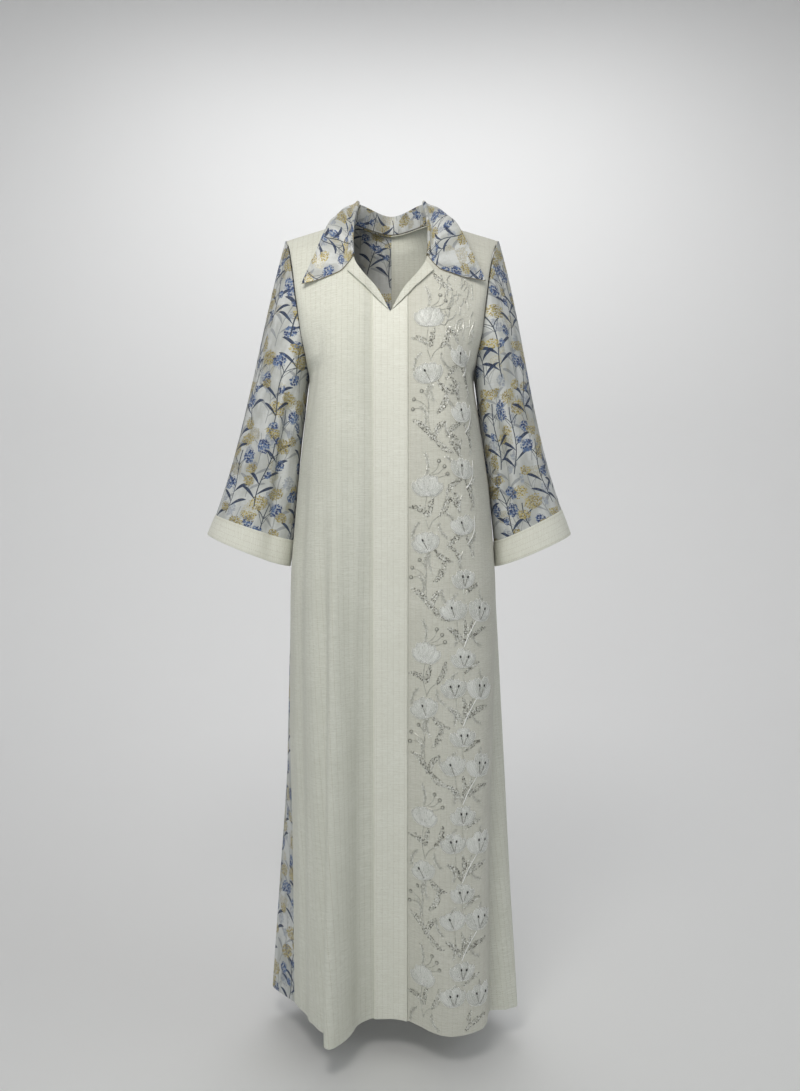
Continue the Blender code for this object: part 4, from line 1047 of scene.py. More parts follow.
@dataclass
class Stitching:
    """Every row of topstitching, as short raised threads."""

    pitch: float = 3.3 * MM
    length: float = 2.4 * MM
    width: float = 0.50 * MM
    sewn: Sewn = field(default_factory=Sewn)

    def row(self, line: np.ndarray, outward: np.ndarray) -> None:
        """Sews one row along a line of points, on the side that the outward directions give."""
        runs = runs_along(line)
        count = max(2, int(runs[-1] / self.pitch))
        middles = (np.arange(count) + 0.5) * runs[-1] / count
        centre, ends = (at_runs(line, runs, at) for at in (middles, middles + self.length / 4))
        up = units(at_runs(outward, runs, middles))
        ahead = square_to(units(ends - centre), up)
        sizes = np.tile((self.width, self.length, self.width * 0.8), (count, 1))
        self.sewn.strew(tube_bead(), centre + up * self.width * 0.2, ahead, up, sizes, np.full(count, 0.5))


@dataclass
class Body:
    """The fronts, the backs, the placket and the revers."""

    cloths: Cloths
    stitching: Stitching
    columns: int = 58
    rows: int = 330
    back_columns: int = 54
    placket_columns: int = 16
    placket_top_rows: int = 8
    placket_lift: float = 0.0004
    placket_stitches: float = 0.925
    revers_rows: int = 37
    revers_columns: int = 17
    revers_tip: float = 0.0055
    revers_outer_x: float = 0.0720
    revers_outer_z: float = -0.1160
    hem: float = 0.022
    seam_gap: float = 0.006

    def __post_init__(self) -> None:
        """Lays out the four skins, and the slope of the revers' outer edge."""
        self.front = {side: Skin(side, Face.FRONT, FRONT_CREASES[side]) for side in Side}
        self.back = {side: Skin(side, Face.BACK, BACK_CREASES[side]) for side in Side}
        self.slope = (self.revers_outer_z - V_POINT) / self.revers_outer_x

    def heights(self, skin: Skin) -> np.ndarray:
        """The rows of a panel up the cloth, with one exactly at the point of the V."""
        rows = np.linspace(0.0, skin.top, self.rows + 1)
        rows[np.argmin(np.abs(rows - skin.v_up))] = skin.v_up
        return rows

    def panel(self, skin: Skin, material: bpy.types.Material) -> bpy.types.Object:
        """One front or back as a fine walled grid."""
        front = skin.face is Face.FRONT
        ups = self.heights(skin)
        columns = 1 + (self.columns if front else self.back_columns)
        s, up = skin.grid(ups, columns)
        points = skin.point(s, up).reshape(len(ups), columns, 3)
        places = np.column_stack([skin.run(s, up), up]).reshape(len(ups), columns, 2)
        piece = cloth_grid(skin.name + "_cloth", points, places, material)
        inner = FRONT_KNOTS[1] + 0.004 if front else self.seam_gap
        along = np.linspace(inner, 1.0 - self.seam_gap, 200)
        up = np.full(len(along), self.hem)
        self.stitching.row(skin.point(along, up), skin.normal(along, up))
        return walled(turned_out(piece), WALL)

    def placket(self) -> bpy.types.Object:
        """The straight two-layer band down the centre front."""
        right = self.front[Side.RIGHT]
        lift = self.placket_lift + BAND_WALL
        xs = np.linspace(-PLACKET_HALF, PLACKET_HALF, self.placket_columns + 1)
        ups = self.heights(right)
        shares = np.abs(xs) / PLACKET_HALF * FRONT_KNOTS[1]
        tops = right.up_at(shares, V_POINT + self.slope * np.abs(xs) - 0.0016)
        straight = ups[ups < tops.min() - 0.010]
        rising = np.linspace(0, 1, self.placket_top_rows + 1)[1:]
        stretch = np.concatenate([np.zeros(len(straight)), rising])
        base = np.concatenate([straight, np.full(len(rising), straight[-1])])
        up = base[:, None] + stretch[:, None] * (tops - straight[-1])
        points = np.zeros((*up.shape, 3))
        rows = np.linspace(0.004, tops.min() - 0.004, 300)
        share = np.full(len(rows), self.placket_stitches * FRONT_KNOTS[1])
        for side, skin in self.front.items():
            mine = xs * side.value >= 0
            s = np.broadcast_to(shares[mine], (len(base), mine.sum())).ravel()
            points[:, mine] = skin.point(s, up[:, mine].ravel(), lift).reshape(len(base), -1, 3)
            self.stitching.row(skin.point(share, rows, lift), skin.normal(share, rows))
        places = np.dstack([np.broadcast_to(xs, up.shape), up])
        piece = turned_out(cloth_grid("placket_band", points, places, self.cloths.band))
        return walled(piece, BAND_WALL, 0.0007)

    def revers(self, side: Side) -> bpy.types.Object:
        """The narrow facing turned back along one edge of the V."""
        skin = self.front[side]
        size = (self.revers_rows, self.revers_columns)
        steps = np.meshgrid(*(np.linspace(0, 1, count) for count in size), indexing="ij")
        t, share = (step.ravel() for step in steps)
        z = V_POINT + self.revers_tip + t * (NOTCH - self.revers_tip - V_POINT - 0.010)
        near = neck_x(z) + 0.0002
        far_x = self.revers_tip + t * (self.revers_outer_x - self.revers_tip)
        height = z + share * (V_POINT + self.slope * far_x - z)
        s, up = skin.place(near + share * (far_x - near), height)
        lift = 0.0004 + 0.0026 * share**2 * np.minimum(1.0, 3 * t)
        points = skin.point(s, up, lift + WALL).reshape(*size, 3)
        places = np.column_stack([skin.run(s, up), up]).reshape(*size, 2)
        self.stitching.row(points[2:-1, -2], skin.normal(s, up).reshape(*size, 3)[2:-1, -2])
        piece = cloth_grid("revers_" + side.word + "_cloth", points, places, self.cloths.cream)
        return walled(turned_out(piece), WALL, 0.0004)


@dataclass
class Items:
    """Places in metres on the flat cloth for copies of a small shape, with sizes in millimetres."""

    rows: list[tuple[float, ...]] = field(default_factory=list)

    def put(
        self,
        spot: Sequence[float],
        turn: float,
        size: tuple[float, float, float],
        lift: float,
        tint: float,
        slant: float = 0.0,
    ) -> None:
        """Puts down one copy: turned clockwise from up the cloth, and slanted sideways."""
        self.rows.append((*spot, turn, *size, lift, tint, slant))

    def sew(self, skin: Skin, shape: Shape, onto: Sewn) -> None:
        """Lays every copy on a skin and adds it to a joined mesh."""
        x, y, turn, *sizes, lift, tint, slant = np.array(self.rows).T
        s = skin.share(x, y)
        normal = skin.normal(s, y)
        ahead = square_to(skin.bare(s, y + 5e-4) - skin.bare(s, y - 5e-4), normal)
        beside = np.cross(ahead, normal)
        cos, sin = np.cos(turn)[:, None], np.sin(turn)[:, None]
        along, across = ahead * cos + beside * sin, beside * cos - ahead * sin
        up = normal * np.cos(slant)[:, None] - across * np.sin(slant)[:, None]
        onto.strew(shape, skin.point(s, y, lift * MM), along, up, np.column_stack(sizes) * MM, tint)


class Sprig(NamedTuple):
    """A leaf or stalk of the sewn work, in millimetres from its flower: its foot, tip, width and bend."""

    x: float
    y: float
    tip_x: float
    tip_y: float
    width: float = 7.0
    bend: float = 4.0

    @property
    def length(self) -> float:
        """The straight way from foot to tip."""
        return math.hypot(self.tip_x - self.x, self.tip_y - self.y)


class Growth(NamedTuple):
    """All that grows round a flower, in the order in which it is sewn."""

    leaves: tuple[Sprig, ...] = ()
    cords: tuple[Sprig, ...] = ()
    sprouts: tuple[Sprig, ...] = ()
    stems: tuple[Sprig, ...] = ()
    berries: tuple[Sprig, ...] = ()


class Bloom(NamedTuple):
    """A flower of the sewn work: its centre, size, tilt in degrees, how many petals, and its drops."""

    x: float
    z: float
    size: float
    tilt: float
    petals: int
    drops: int


# Round each upright pair of wide flowers next to the placket, from the upper one's centre
INNER = Growth(
    leaves=rows_of(
        Sprig,
        (2, -52, -29, -37, 8.5, 5),
        (5, -50, 10, -21, 7.0, -2),
        (20, -52, 34, -15, 8.0, 4),
        (14, -108, 42, -127, 8.0, 4),
        (13, -160, 29, -122, 8.5, 5),
        (6, -203, -27, -171, 9.0, 5),
        (8, -202, 27, -172, 8.0, -4),
        (9, -200, 40, -224, 8.5, 4),
    ),
    sprouts=rows_of(
        Sprig,
        (-1, 17, -4, 50),
        (3, -112, -2, -134),
        (6, -112, 8, -140),
        (-12, -62, -24, -88),
        (20, -62, 32, -86),
        (-6, -176, -12, -150),
        (26, -176, 38, -200),
    ),
    stems=rows_of(
        Sprig,
        (0, -18, 3, -74, 7.0, 5),
        (2, -110, 3, -204, 7.0, 4),
        (3, -74, 20, -52, 7.0, -3),
    ),
    berries=rows_of(
        Sprig,
        (4, 16, 19, 38),
        (5, 15, 28, 29),
        (6, 14, 33, 17),
        (0, -158, -25, -137),
        (-1, -160, -27, -153),
        (0, -152, -12, -124),
    ),
)
# Round each single flower of the outer row and the pair under it, from the single one's centre
CHAIN = Growth(
    leaves=rows_of(
        Sprig,
        (4, -26, 33, -11, 6.5, -3),
        (3, -106, 1, -68, 7.0, 3),
        (14, -92, 18, -72, 5.5, -2),
        (9, -102, 48, -86, 8.5, -4),
        (0, -110, -28, -82, 8.0, 4),
    ),
    cords=rows_of(Sprig, (27, -70, 2, -114, 2.6, 2)),
    sprouts=rows_of(
        Sprig,
        (-10, -24, -20, -46),
        (18, -96, 34, -113),
        (-14, -113, -19, -86),
        (34, -22, 40, -38),
    ),
    stems=rows_of(Sprig, (0, -14, 2, -38, 7.0, 1), (-12, -66, 0, -112, 7.0, 3)),
)
# Round each flower of the upper outer row
UPPER = Growth(
    leaves=rows_of(
        Sprig,
        (-4, -20, -31, -44, 8.0, 4),
        (6, -22, 20, -58, 9.0, -4),
        (-6, -62, -22, -40, 6.5, 3),
        (-8, 20, -26, 42, 7.0, 3),
    ),
    cords=rows_of(Sprig, (24, 12, 8, -34, 2.4, -7)),
    sprouts=rows_of(Sprig, (-16, -8, -30, 16), (12, -30, 28, -16), (-2, -46, -6, -72), (16, 22, 22, 46)),
)
# The thicket of streaks under the collar's point: where its strands start and end
THICKET = (0.078, 0.142, -0.232, -0.128)
# How far each petal of a flower leans, in degrees
FANS = {5: (-50, -25, 0, 25, 50), 4: (-46, -16, 16, 46)}


def way(turn: float) -> np.ndarray:
    """The direction on the flat cloth that is turned clockwise from up it."""
    return np.array((math.sin(turn), math.cos(turn)))


def rank(count: int, x: float, z: float, step_x: float, step_z: float) -> list[tuple[float, float]]:
    """Evenly stepped places down a panel, as distances from the centre and heights."""
    return [(x + step_x * i, z + step_z * i) for i in range(count)]


@dataclass
class Embroidery:
    """The raised flowers, sequin leaves, beaded stalks and cords on the left front.

    Beads, petals and lanes are measured in millimetres. A row of flowers gives, in metres, its first
    flower's distance from the centre and height, and the steps from one flower to the next.
    """

    skin: Skin
    seed: int = 11
    bead: float = 2.1
    crown: float = 2.3
    foot: float = 17.5
    petal_long: float = 34.0
    petal_wide: dict[int, float] = field(default_factory=lambda: {5: 15.5, 4: 16.5})
    inner_row: tuple[float, ...] = (0.063, -0.196, -0.0025, -0.276)
    upper_row: tuple[float, ...] = (0.116, -0.2585, 0.0015, -0.0925)
    chain_row: tuple[float, ...] = (0.121, -0.6255, 0.0, -0.1316)
    hem_margin: float = 0.036
    highest_z: float = -0.118
    lane_pitch: float = 1.9
    missing: float = 0.20
    rim_tints: tuple[float, ...] = (0.12, 0.45, 0.75, 0.95)

    def __post_init__(self) -> None:
        """Starts with no beads."""
        self.random = np.random.default_rng(self.seed)
        self.pearls, self.straws, self.discs, self.berries = Items(), Items(), Items(), Items()
        self.domes: list[np.ndarray] = []
        self.dome_painted_shades: list[float] = []
        self.dome_shape = round_bead(10, 8)

    def blooms(self) -> list[Bloom]:
        """Every raised flower, where the solid front has it."""
        out = []
        for x, z in rank(5, *self.inner_row):
            out += [Bloom(x, z, 1.0, 0, 5, 0), Bloom(x - 0.002, z - 0.0925, 1.0, -16, 5, 1)]
        for i, (x, z) in enumerate(rank(4, *self.upper_row)):
            out.append(Bloom(x, z, 0.96, 10 - 14 * (i % 2), 4, 1))
        for i, (x, z) in enumerate(rank(6, *self.chain_row)):
            out.append(Bloom(x, z, 0.94, 0, 4, 2))
            out.append(Bloom(0.105, -0.676 - 0.13 * i, 0.98, -6, 4, 1 + i % 2))
            out.append(Bloom(0.149, -0.679 - 0.13 * i, 1.12, 8, 4, 2))
        return [bloom for bloom in out if bloom.z > self.hem_margin - LENGTH]

    def petal(
        self, foot: np.ndarray, turns: tuple[float, float], long: float, wide: float, tint: float
    ) -> None:
        """One padded petal with a beaded rim and rows of beads along it.

        Args:
            foot: Where it starts, in metres on the flat cloth.
            turns: How far it is turned from up the cloth at its foot and at its tip.
            long: Its length, in metres as its width is.
            wide: Its width.
            tint: How light its padding is; kept low, it paints shade into the gaps between its beads.
        """
        fine = np.linspace(0, 1, 33)
        turning = turns[0] + (turns[1] - turns[0]) * fine
        steps = np.column_stack([np.sin(turning), np.cos(turning)]) * long / 32
        spine = foot + np.concatenate([np.zeros((1, 2)), np.cumsum((steps[1:] + steps[:-1]) / 2, axis=0)])

        def at(t: np.ndarray, c: np.ndarray) -> tuple[np.ndarray, np.ndarray, np.ndarray]:
            """The places, turns and heights in millimetres at shares along and across the petal."""
            turn = np.interp(t, fine, turning)
            blunt = (1 - np.abs(2 * np.clip(t, 0, 1) ** 1.18 - 1) ** 2.7) ** 0.5
            off = c * wide / 2 * blunt * (0.55 + 0.45 * smooth(t / 0.5))
            aside = np.column_stack([np.cos(turn), -np.sin(turn)]) * off[:, None]
            dome = np.sqrt(np.maximum(1 - c * c, 0)) * np.sin(math.pi * np.clip(t, 0.02, 0.98)) ** 0.45
            return at_runs(spine, fine, t) + aside, turn, self.crown * dome

        p = self.dome_shape.points * 2
        c = np.clip(p[:, 0] / np.sqrt(np.maximum(1 - p[:, 1] ** 2, 1e-9)), -1, 1)
        spots, _, height = at((p[:, 1] + 1) / 2, c)
        self.domes.append(np.column_stack([spots, np.where(p[:, 2] > 0, height, -0.4)]))
        self.dome_painted_shades.append(tint)
        count = int(long * 1.05 / (self.bead * MM))
        rim = (self.bead * 1.3, self.bead * 1.1, self.bead * 1.15)
        for side in (-1.0, 1.0):
            spots, turn, _ = at((np.arange(count) + 0.5) / count, np.full(count, side * 0.95))
            tints = self.random.uniform(0.90, 1.0, count)
            for spot, angle, shade in zip(spots, turn, tints):
                self.pearls.put(spot, angle + 0.35 * side, rim, 0.5 * self.bead, shade)
        mood = self.random.uniform(-0.12, 0.12)
        for c_row in np.linspace(-0.60, 0.60, 4):
            count = int(long / (2.7 * MM))
            t = (np.arange(count) + 0.6 + 0.3 * self.random.random(count)) / (count + 0.6)
            for spot, angle, height in zip(*at(t, np.full(count, c_row))):
                shade = float(np.clip(self.random.normal(0.62 + mood, 0.34), 0.0, 1.0))
                slant = self.random.normal(0, 0.22)
                self.pearls.put(spot, angle + slant, (1.5, 2.5, 1.3), height + 0.35, shade)

    def flower(self, bloom: Bloom, centre: np.ndarray) -> None:
        """One cup of petals with its dark drops."""
        tilt, size = math.radians(bloom.tilt), MM * bloom.size
        foot = centre - way(tilt) * self.foot * size
        for degrees in sorted(FANS[bloom.petals], key=abs, reverse=True):
            turn = math.radians(degrees + self.random.normal(0, 3))
            long = (self.petal_long - 0.03 * abs(degrees) + self.random.uniform(-2, 2)) * MM * bloom.size
            wide = self.petal_wide[bloom.petals] * size
            # A low tint paints the petal's padding grey, as shade in the gaps between its beads
            tint = 0.05 + 0.22 * self.random.random()
            self.petal(foot, (tilt + turn * 1.40, tilt + turn * 0.18), long, wide, tint)
        for lean in (-14, 20)[: bloom.drops]:
            turn = tilt + math.radians(lean + self.random.normal(0, 3))
            for step in range(9):
                here = foot + way(turn) * (3 + step * 1.5) * size
                self.straws.put(here, turn, (0.7, 1.7, 0.7), self.crown + 0.6, 0.20)
            self.berries.put(foot + way(turn) * 20 * size, turn, (3.0, 5.0, 2.0), self.crown + 0.9, 0.02)

    def bowed(self, sprig: Sprig, origin: np.ndarray, count: int) -> tuple[np.ndarray, np.ndarray]:
        """Points along a bowed line from a sprig's foot to its tip, and the turn at each."""
        a, b = np.array((sprig.x, sprig.y)) * MM, np.array((sprig.tip_x, sprig.tip_y)) * MM
        t = np.linspace(0, 1, count)[:, None]
        out = units(np.array((b[1] - a[1], a[0] - b[0])))
        line = origin + a + (b - a) * t + out * sprig.bend * MM * np.sin(math.pi * t)
        step = np.gradient(line, axis=0)
        return line, np.arctan2(step[:, 0], step[:, 1])

    def leaf(self, sprig: Sprig, origin: np.ndarray) -> None:
        """A lens of overlapping sequins, a few left out, with a beaded rim."""
        line, turns = self.bowed(sprig, origin, max(6, int(sprig.length / 1.75)))
        mood = self.random.random()
        for k, (here, turn) in enumerate(zip(line, turns)):
            t = k / (len(line) - 1)
            half = sprig.width / 2 * math.sin(math.pi * min(0.97, 0.06 + 0.92 * t)) ** 0.8
            across = way(turn + math.pi / 2) * MM
            lanes = max(1, int(round(half * 2 / self.lane_pitch)))
            for lane in range(lanes):
                off = (lane - (lanes - 1) / 2) * self.lane_pitch + self.random.normal(0, 0.18)
                tint = np.clip(self.random.normal(0.50 + 0.22 * mood, 0.34), 0.04, 1.0)
                if self.random.random() < self.missing:
                    continue
                turned = turn + self.random.normal(0, 0.5)
                lift, slant = 0.55 + 0.25 * (lane % 2), self.random.normal(0, 0.30)
                self.discs.put(here + across * off, turned, (2.0, 2.0, 0.35), lift, tint, slant)
            if k % 2:
                continue
            for side in (-1, 1):
                edge = here + across * side * (half + 0.5)
                shade = self.random.choice(self.rim_tints)
                self.straws.put(edge, turn, (1.1, 2.0, 1.0), 0.4, shade)

    def stalk(self, sprig: Sprig, origin: np.ndarray) -> np.ndarray:
        """A line of tiny beads, which it gives back."""
        line, turns = self.bowed(sprig, origin, max(4, int(sprig.length / 1.7)))
        for here, turn in zip(line, turns):
            self.straws.put(here, turn, (1.0, 1.7, 1.0), 0.5, 0.45 + 0.4 * self.random.random())
        return line

    def berry(self, sprig: Sprig, origin: np.ndarray) -> None:
        """A stalk that ends in a round berry in a ring of beads."""
        end = self.stalk(sprig, origin)[-1]
        for turn in np.arange(8) * math.pi / 4:
            self.straws.put(end + way(turn) * 2.7 * MM, turn + math.pi / 2, (0.9, 1.9, 0.9), 0.5, 0.35)
        self.berries.put(end, 0.0, (4.6, 4.6, 3.0), 1.0, 0.55)

    def sprout(self, sprig: Sprig, origin: np.ndarray, size: float = 1.0) -> None:
        """An upright spray of little slanted sequins on both sides of a beaded line."""
        self.stalk(sprig, origin)
        line, turns = self.bowed(sprig, origin, max(5, int(sprig.length / 2.6 / size)))
        for k, (here, turn) in enumerate(zip(line, turns)):
            for side in (-1, 1):
                slant = turn + side * 0.7
                spot = here + way(slant) * (2.6 + 0.6 * (k % 2)) * MM * size
                tint, tipped = 0.45 + 0.5 * self.random.random(), self.random.normal(0, 0.3)
                self.discs.put(spot, slant, (1.8 * size, 3.8 * size, 0.4), 0.6, tint, tipped)

    def cord(self, sprig: Sprig, origin: np.ndarray) -> None:
        """A thick white cord of overlapping slanted stitches."""
        line, turns = self.bowed(sprig, origin, max(4, int(sprig.length / 1.3)))
        for here, turn in zip(line, turns):
            size = (sprig.width, sprig.width * 1.15, sprig.width * 0.85)
            self.pearls.put(here, turn + 0.5, size, 0.8, 0.97)

    def thicket(self) -> None:
        """The streaks of sequins and long clear beads under the collar's point."""
        x0, x1, z0, z1 = THICKET
        low, high = self.spots([(x0, z0), (x1, z1)])
        for _ in range(30):
            origin = low + (high - low) * self.random.random(2) * (1.0, 0.84)
            length, lean = 14 + 18 * self.random.random(), self.random.normal(2, 6)
            self.sprout(Sprig(0, 0, lean, length, 2.0, self.random.normal(0, 3)), origin, 0.42)
        for _ in range(90):
            spot = low + (high - low) * self.random.random(2)
            self.pearls.put(spot, self.random.normal(0, 0.5), (1.6, 2.6, 1.4), 0.6, 0.85)

    def spots(self, places: Sequence[tuple[float, float]]) -> np.ndarray:
        """The flat places of distances from the centre and heights."""
        s, up = self.skin.place(*np.array(places).T)
        return np.column_stack([self.skin.run(s, up), up])

    def lay_out(self) -> None:
        """Puts every flower and all that grows round it in its place."""
        blooms = self.blooms()
        for bloom, centre in zip(blooms, self.spots([(bloom.x, bloom.z) for bloom in blooms])):
            self.flower(bloom, centre)
        inner = self.spots(rank(5, *self.inner_row))
        above = inner[:1] - (0.0, self.inner_row[3])
        for origins, growth in (
            (np.concatenate([above, inner]), INNER),
            (self.spots(rank(6, *self.chain_row)), CHAIN),
            (self.spots(rank(4, *self.upper_row)), UPPER),
        ):
            for origin in origins:
                self.grow(origin, growth)
        self.thicket()

    @cached_property
    def highest(self) -> float:
        """How far up the cloth the sewn work may reach."""
        return float(self.spots([(0.10, self.highest_z)])[0, 1])

    def grow(self, origin: np.ndarray, growth: Growth) -> None:
        """Sews what grows round one flower, where it stays on the cloth."""
        for work, sprigs in zip((self.leaf, self.cord, self.sprout, self.stalk, self.berry), growth):
            for sprig in sprigs:
                ends = origin[1] + np.array((sprig.y, sprig.tip_y)) * MM
                if 6 * MM < ends.min() and ends.max() < self.highest:
                    work(sprig, origin)

    def make(self, pearl: bpy.types.Material, metal: bpy.types.Material) -> list[bpy.types.Object]:
        """Makes the sewn work as two joined pieces.

        Args:
            pearl: The white beads' and petals' finish.
            metal: The sequins' finish, from dark to silver by tint.

        Returns:
            The white flowers, and the sequins with the berries and drops.
        """
        self.lay_out()
        white, grey = Sewn(), Sewn()
        x, y, height = np.concatenate(self.domes).T
        points = self.skin.point(self.skin.share(x, y), y, height * MM).reshape(len(self.domes), -1, 3)
        white.add(points, self.dome_shape.triangles, np.array(self.dome_painted_shades))
        for items, shape, onto in (
            (self.pearls, round_bead(), white),
            (self.straws, tube_bead(), grey),
            (self.discs, sequin(), grey),
            (self.berries, round_bead(10, 6), grey),
        ):
            items.sew(self.skin, shape, onto)
        return [white.make("beaded_flowers", pearl), grey.make("sequin_sprays", metal, False)]


class Ring(NamedTuple):
    """The end of a sleeve or cuff: nearest and furthest points from the body, and half its depth."""

    inner_x: float
    inner_z: float
    outer_x: float
    outer_z: float
    half_depth: float
    centre_y: float


class SleeveFold(NamedTuple):
    """A long soft fold: its angle round the sleeve, width, depth, and where down it starts and ends."""

    angle: float
    width: float
    depth: float
    start: float
    end: float


SLEEVE_END = {
    Side.RIGHT: Ring(0.1800, -0.5650, 0.3145, -0.5200, 0.060, 0.004),
    Side.LEFT: Ring(0.1900, -0.5670, 0.3070, -0.5100, 0.062, 0.010),
}
CUFF_END = {
    Side.RIGHT: Ring(0.1855, -0.6116, 0.3291, -0.5541, 0.065, 0.004),
    Side.LEFT: Ring(0.1910, -0.6120, 0.3233, -0.5541, 0.067, 0.010),
}
SLEEVE_FOLDS = {
    Side.RIGHT: rows_of(
        SleeveFold,
        (0.00, 0.50, -0.0042, 0.00, 1.30),
        (0.88, 0.26, 0.0130, 0.14, 1.10),
        (1.95, 0.30, 0.0050, 0.30, 0.95),
        (4.10, 0.36, 0.0080, 0.25, 1.00),
        (5.20, 0.32, 0.0060, 0.30, 1.05),
        (1.38, 0.15, 0.0042, 0.10, 0.80),
        (2.35, 0.13, 0.0034, 0.42, 1.02),
        (0.45, 0.12, 0.0036, 0.30, 1.00),
        (2.80, 0.16, 0.0030, 0.02, 0.60),
        (3.60, 0.14, 0.0034, 0.35, 1.02),
        (4.70, 0.15, 0.0038, 0.10, 0.85),
        (5.75, 0.13, 0.0030, 0.30, 1.00),
    ),
    Side.LEFT: rows_of(
        SleeveFold,
        (0.00, 0.50, -0.0043, 0.00, 1.30),
        (0.42, 0.26, -0.0042, -0.05, 0.60),
        (0.92, 0.26, 0.0125, 0.08, 0.98),
        (1.80, 0.30, 0.0055, 0.30, 1.05),
        (4.30, 0.36, 0.0075, 0.20, 1.00),
        (5.30, 0.32, 0.0060, 0.30, 1.00),
        (1.36, 0.14, 0.0044, 0.28, 1.00),
        (2.30, 0.15, 0.0038, 0.08, 0.72),
        (0.50, 0.12, 0.0034, 0.25, 0.95),
        (2.78, 0.13, 0.0030, 0.45, 1.02),
        (3.65, 0.15, 0.0036, 0.20, 0.90),
        (4.85, 0.13, 0.0032, 0.35, 1.00),
        (5.80, 0.14, 0.0034, 0.15, 0.90),
    ),
}


@dataclass
class Sleeve:
    """A wide straight sleeve and the broad cuff that it ends in."""

    side: Side
    body: Body
    cloths: Cloths
    around: int = 84
    rows: int = 120
    cuff_rows: int = 12
    seam_gap: float = 0.0005
    shoulder_gap: float = 0.0019
    print_shift: float = 0.137
    cuff_lap: float = 0.12
    cuff_folds: float = 0.8
    cuff_stitches: tuple[float, float] = (0.07, 0.93)
    stitch_lift: float = 0.0010

    def armhole(self) -> tuple[np.ndarray, np.ndarray]:
        """The armhole's edge, from the underarm up the front and down the back.

        Returns:
            The points, the last of which repeats the first one, and the angle round the sleeve of each.
        """
        front, back = self.body.front[self.side], self.body.back[self.side]
        rise = np.linspace(front.underarm, front.top, self.around // 2 + 1)
        ones = np.ones(len(rise))
        halves = front.bare(ones, rise), back.bare(ones, rise[::-1])
        shares = [runs / runs[-1] for runs in map(runs_along, halves)]
        angles = math.pi * np.concatenate([shares[0], 1 + shares[1][1:]])
        return np.concatenate([halves[0], halves[1][1:]]), angles

    def ring(self, ring: Ring, angles: np.ndarray) -> np.ndarray:
        """The points of a ring at angles round it, 0 being next to the body."""
        inner = np.array((self.side.value * ring.inner_x, ring.centre_y, ring.inner_z))
        outer = np.array((self.side.value * ring.outer_x, ring.centre_y, ring.outer_z))
        points = (inner + outer) / 2 + (inner - outer) / 2 * np.cos(angles)[:, None]
        points[:, 1] -= ring.half_depth * np.sin(angles)
        return points

    def fold_depth(self, angles: np.ndarray, down: np.ndarray) -> np.ndarray:
        """How far the folds press the sleeve in, at angles round it and shares down it."""
        total = np.zeros(np.broadcast(angles, down).shape)
        for fold in SLEEVE_FOLDS[self.side]:
            off = (angles - fold.angle + math.pi) % (2 * math.pi) - math.pi
            ease = smooth((down - fold.start) / 0.25) * smooth((fold.end - down) / 0.20)
            total = total + fold.depth * ease * np.exp(-((off / fold.width) ** 2))
        return total

    @cached_property
    def surface(self) -> tuple[np.ndarray, np.ndarray, np.ndarray]:
        """The sleeve's outer points (rows, columns, 3), inward directions and angles."""
        edge, angles = self.armhole()
        side = float(self.side.value)
        end = self.ring(SLEEVE_END[self.side], angles)
        reach = np.linalg.norm(end - edge, axis=1)[:, None]
        over = 0.5 - 0.5 * np.cos(angles)
        down = -np.ones(len(angles))
        leave = units(np.column_stack([side * (0.22 + 0.08 * over), -0.10 * np.sin(angles), down]))
        arrive = units(np.column_stack([side * (0.10 + 0.28 * over), np.zeros(len(angles)), down]))
        t = np.linspace(0, 1, self.rows + 1)[:, None, None]
        line = hermite(edge, end, leave * reach, arrive * reach, t)
        line[..., 0] += side * (self.seam_gap + self.shoulder_gap * over) * (1 - t[..., 0])
        last = (line[-1, 0] + line[-1, self.around // 2]) / 2
        centre = edge[:-1].mean(axis=0)
        inward = square_to(centre + (last - centre) * t - line, units(np.gradient(line, axis=0)))
        depth = self.fold_depth(angles[None, :], t[..., 0])
        return line + inward * depth[..., None], inward, angles

    def sleeve(self) -> bpy.types.Object:
        """The printed sleeve, a tube from the armhole to the cuff's seam."""
        points, _, _ = self.surface
        axis = units(points[-1].mean(axis=0) - points[0].mean(axis=0))
        down = points @ axis
        around = runs_along(points - down[..., None] * axis)
        around -= around[:, self.around // 2][:, None]
        places = np.dstack([around + self.print_shift * self.side.value, -down])
        piece = cloth_grid("sleeve_" + self.side.word + "_cloth", points, places, self.cloths.print)
        return walled(turned_out(piece, points.mean(axis=(0, 1))), WALL)

    def cuff(self) -> bpy.types.Object:
        """The cuff, a band of two layers folded at the wrist."""
        points, inward, angles = self.surface
        start, into = points[-1] - (points[-1] - points[-3]) * self.cuff_lap, inward[-1]
        bottom = self.ring(CUFF_END[self.side], angles)
        bottom += into * self.fold_depth(angles, np.ones(len(angles)))[:, None] * self.cuff_folds
        t = np.linspace(0, 1, self.cuff_rows + 1)[:, None, None]
        swell = 0.0006 + 0.0005 * np.sin(math.pi * t)
        band = start + (bottom - start) * t - into * swell
        around = runs_along(band)
        height = runs_along(band.transpose(1, 0, 2)).mean(axis=0)[:, None]
        places = np.dstack([np.broadcast_to(height, around.shape), around])
        for share in self.cuff_stitches:
            self.body.stitching.row(start + (bottom - start) * share - into * self.stitch_lift, -into)
        piece = cloth_grid("cuff_" + self.side.word + "_band", band, places, self.cloths.band)
        return walled(turned_out(piece, band.mean(axis=(0, 1))), BAND_WALL, 0.0008)


class CollarRow(NamedTuple):
    """A section of the collar, a share of the way from its end at the revers to the centre back."""

    share: float
    roll: tuple[float, float, float]
    middle: tuple[float, float, float]
    edge: tuple[float, float, float]


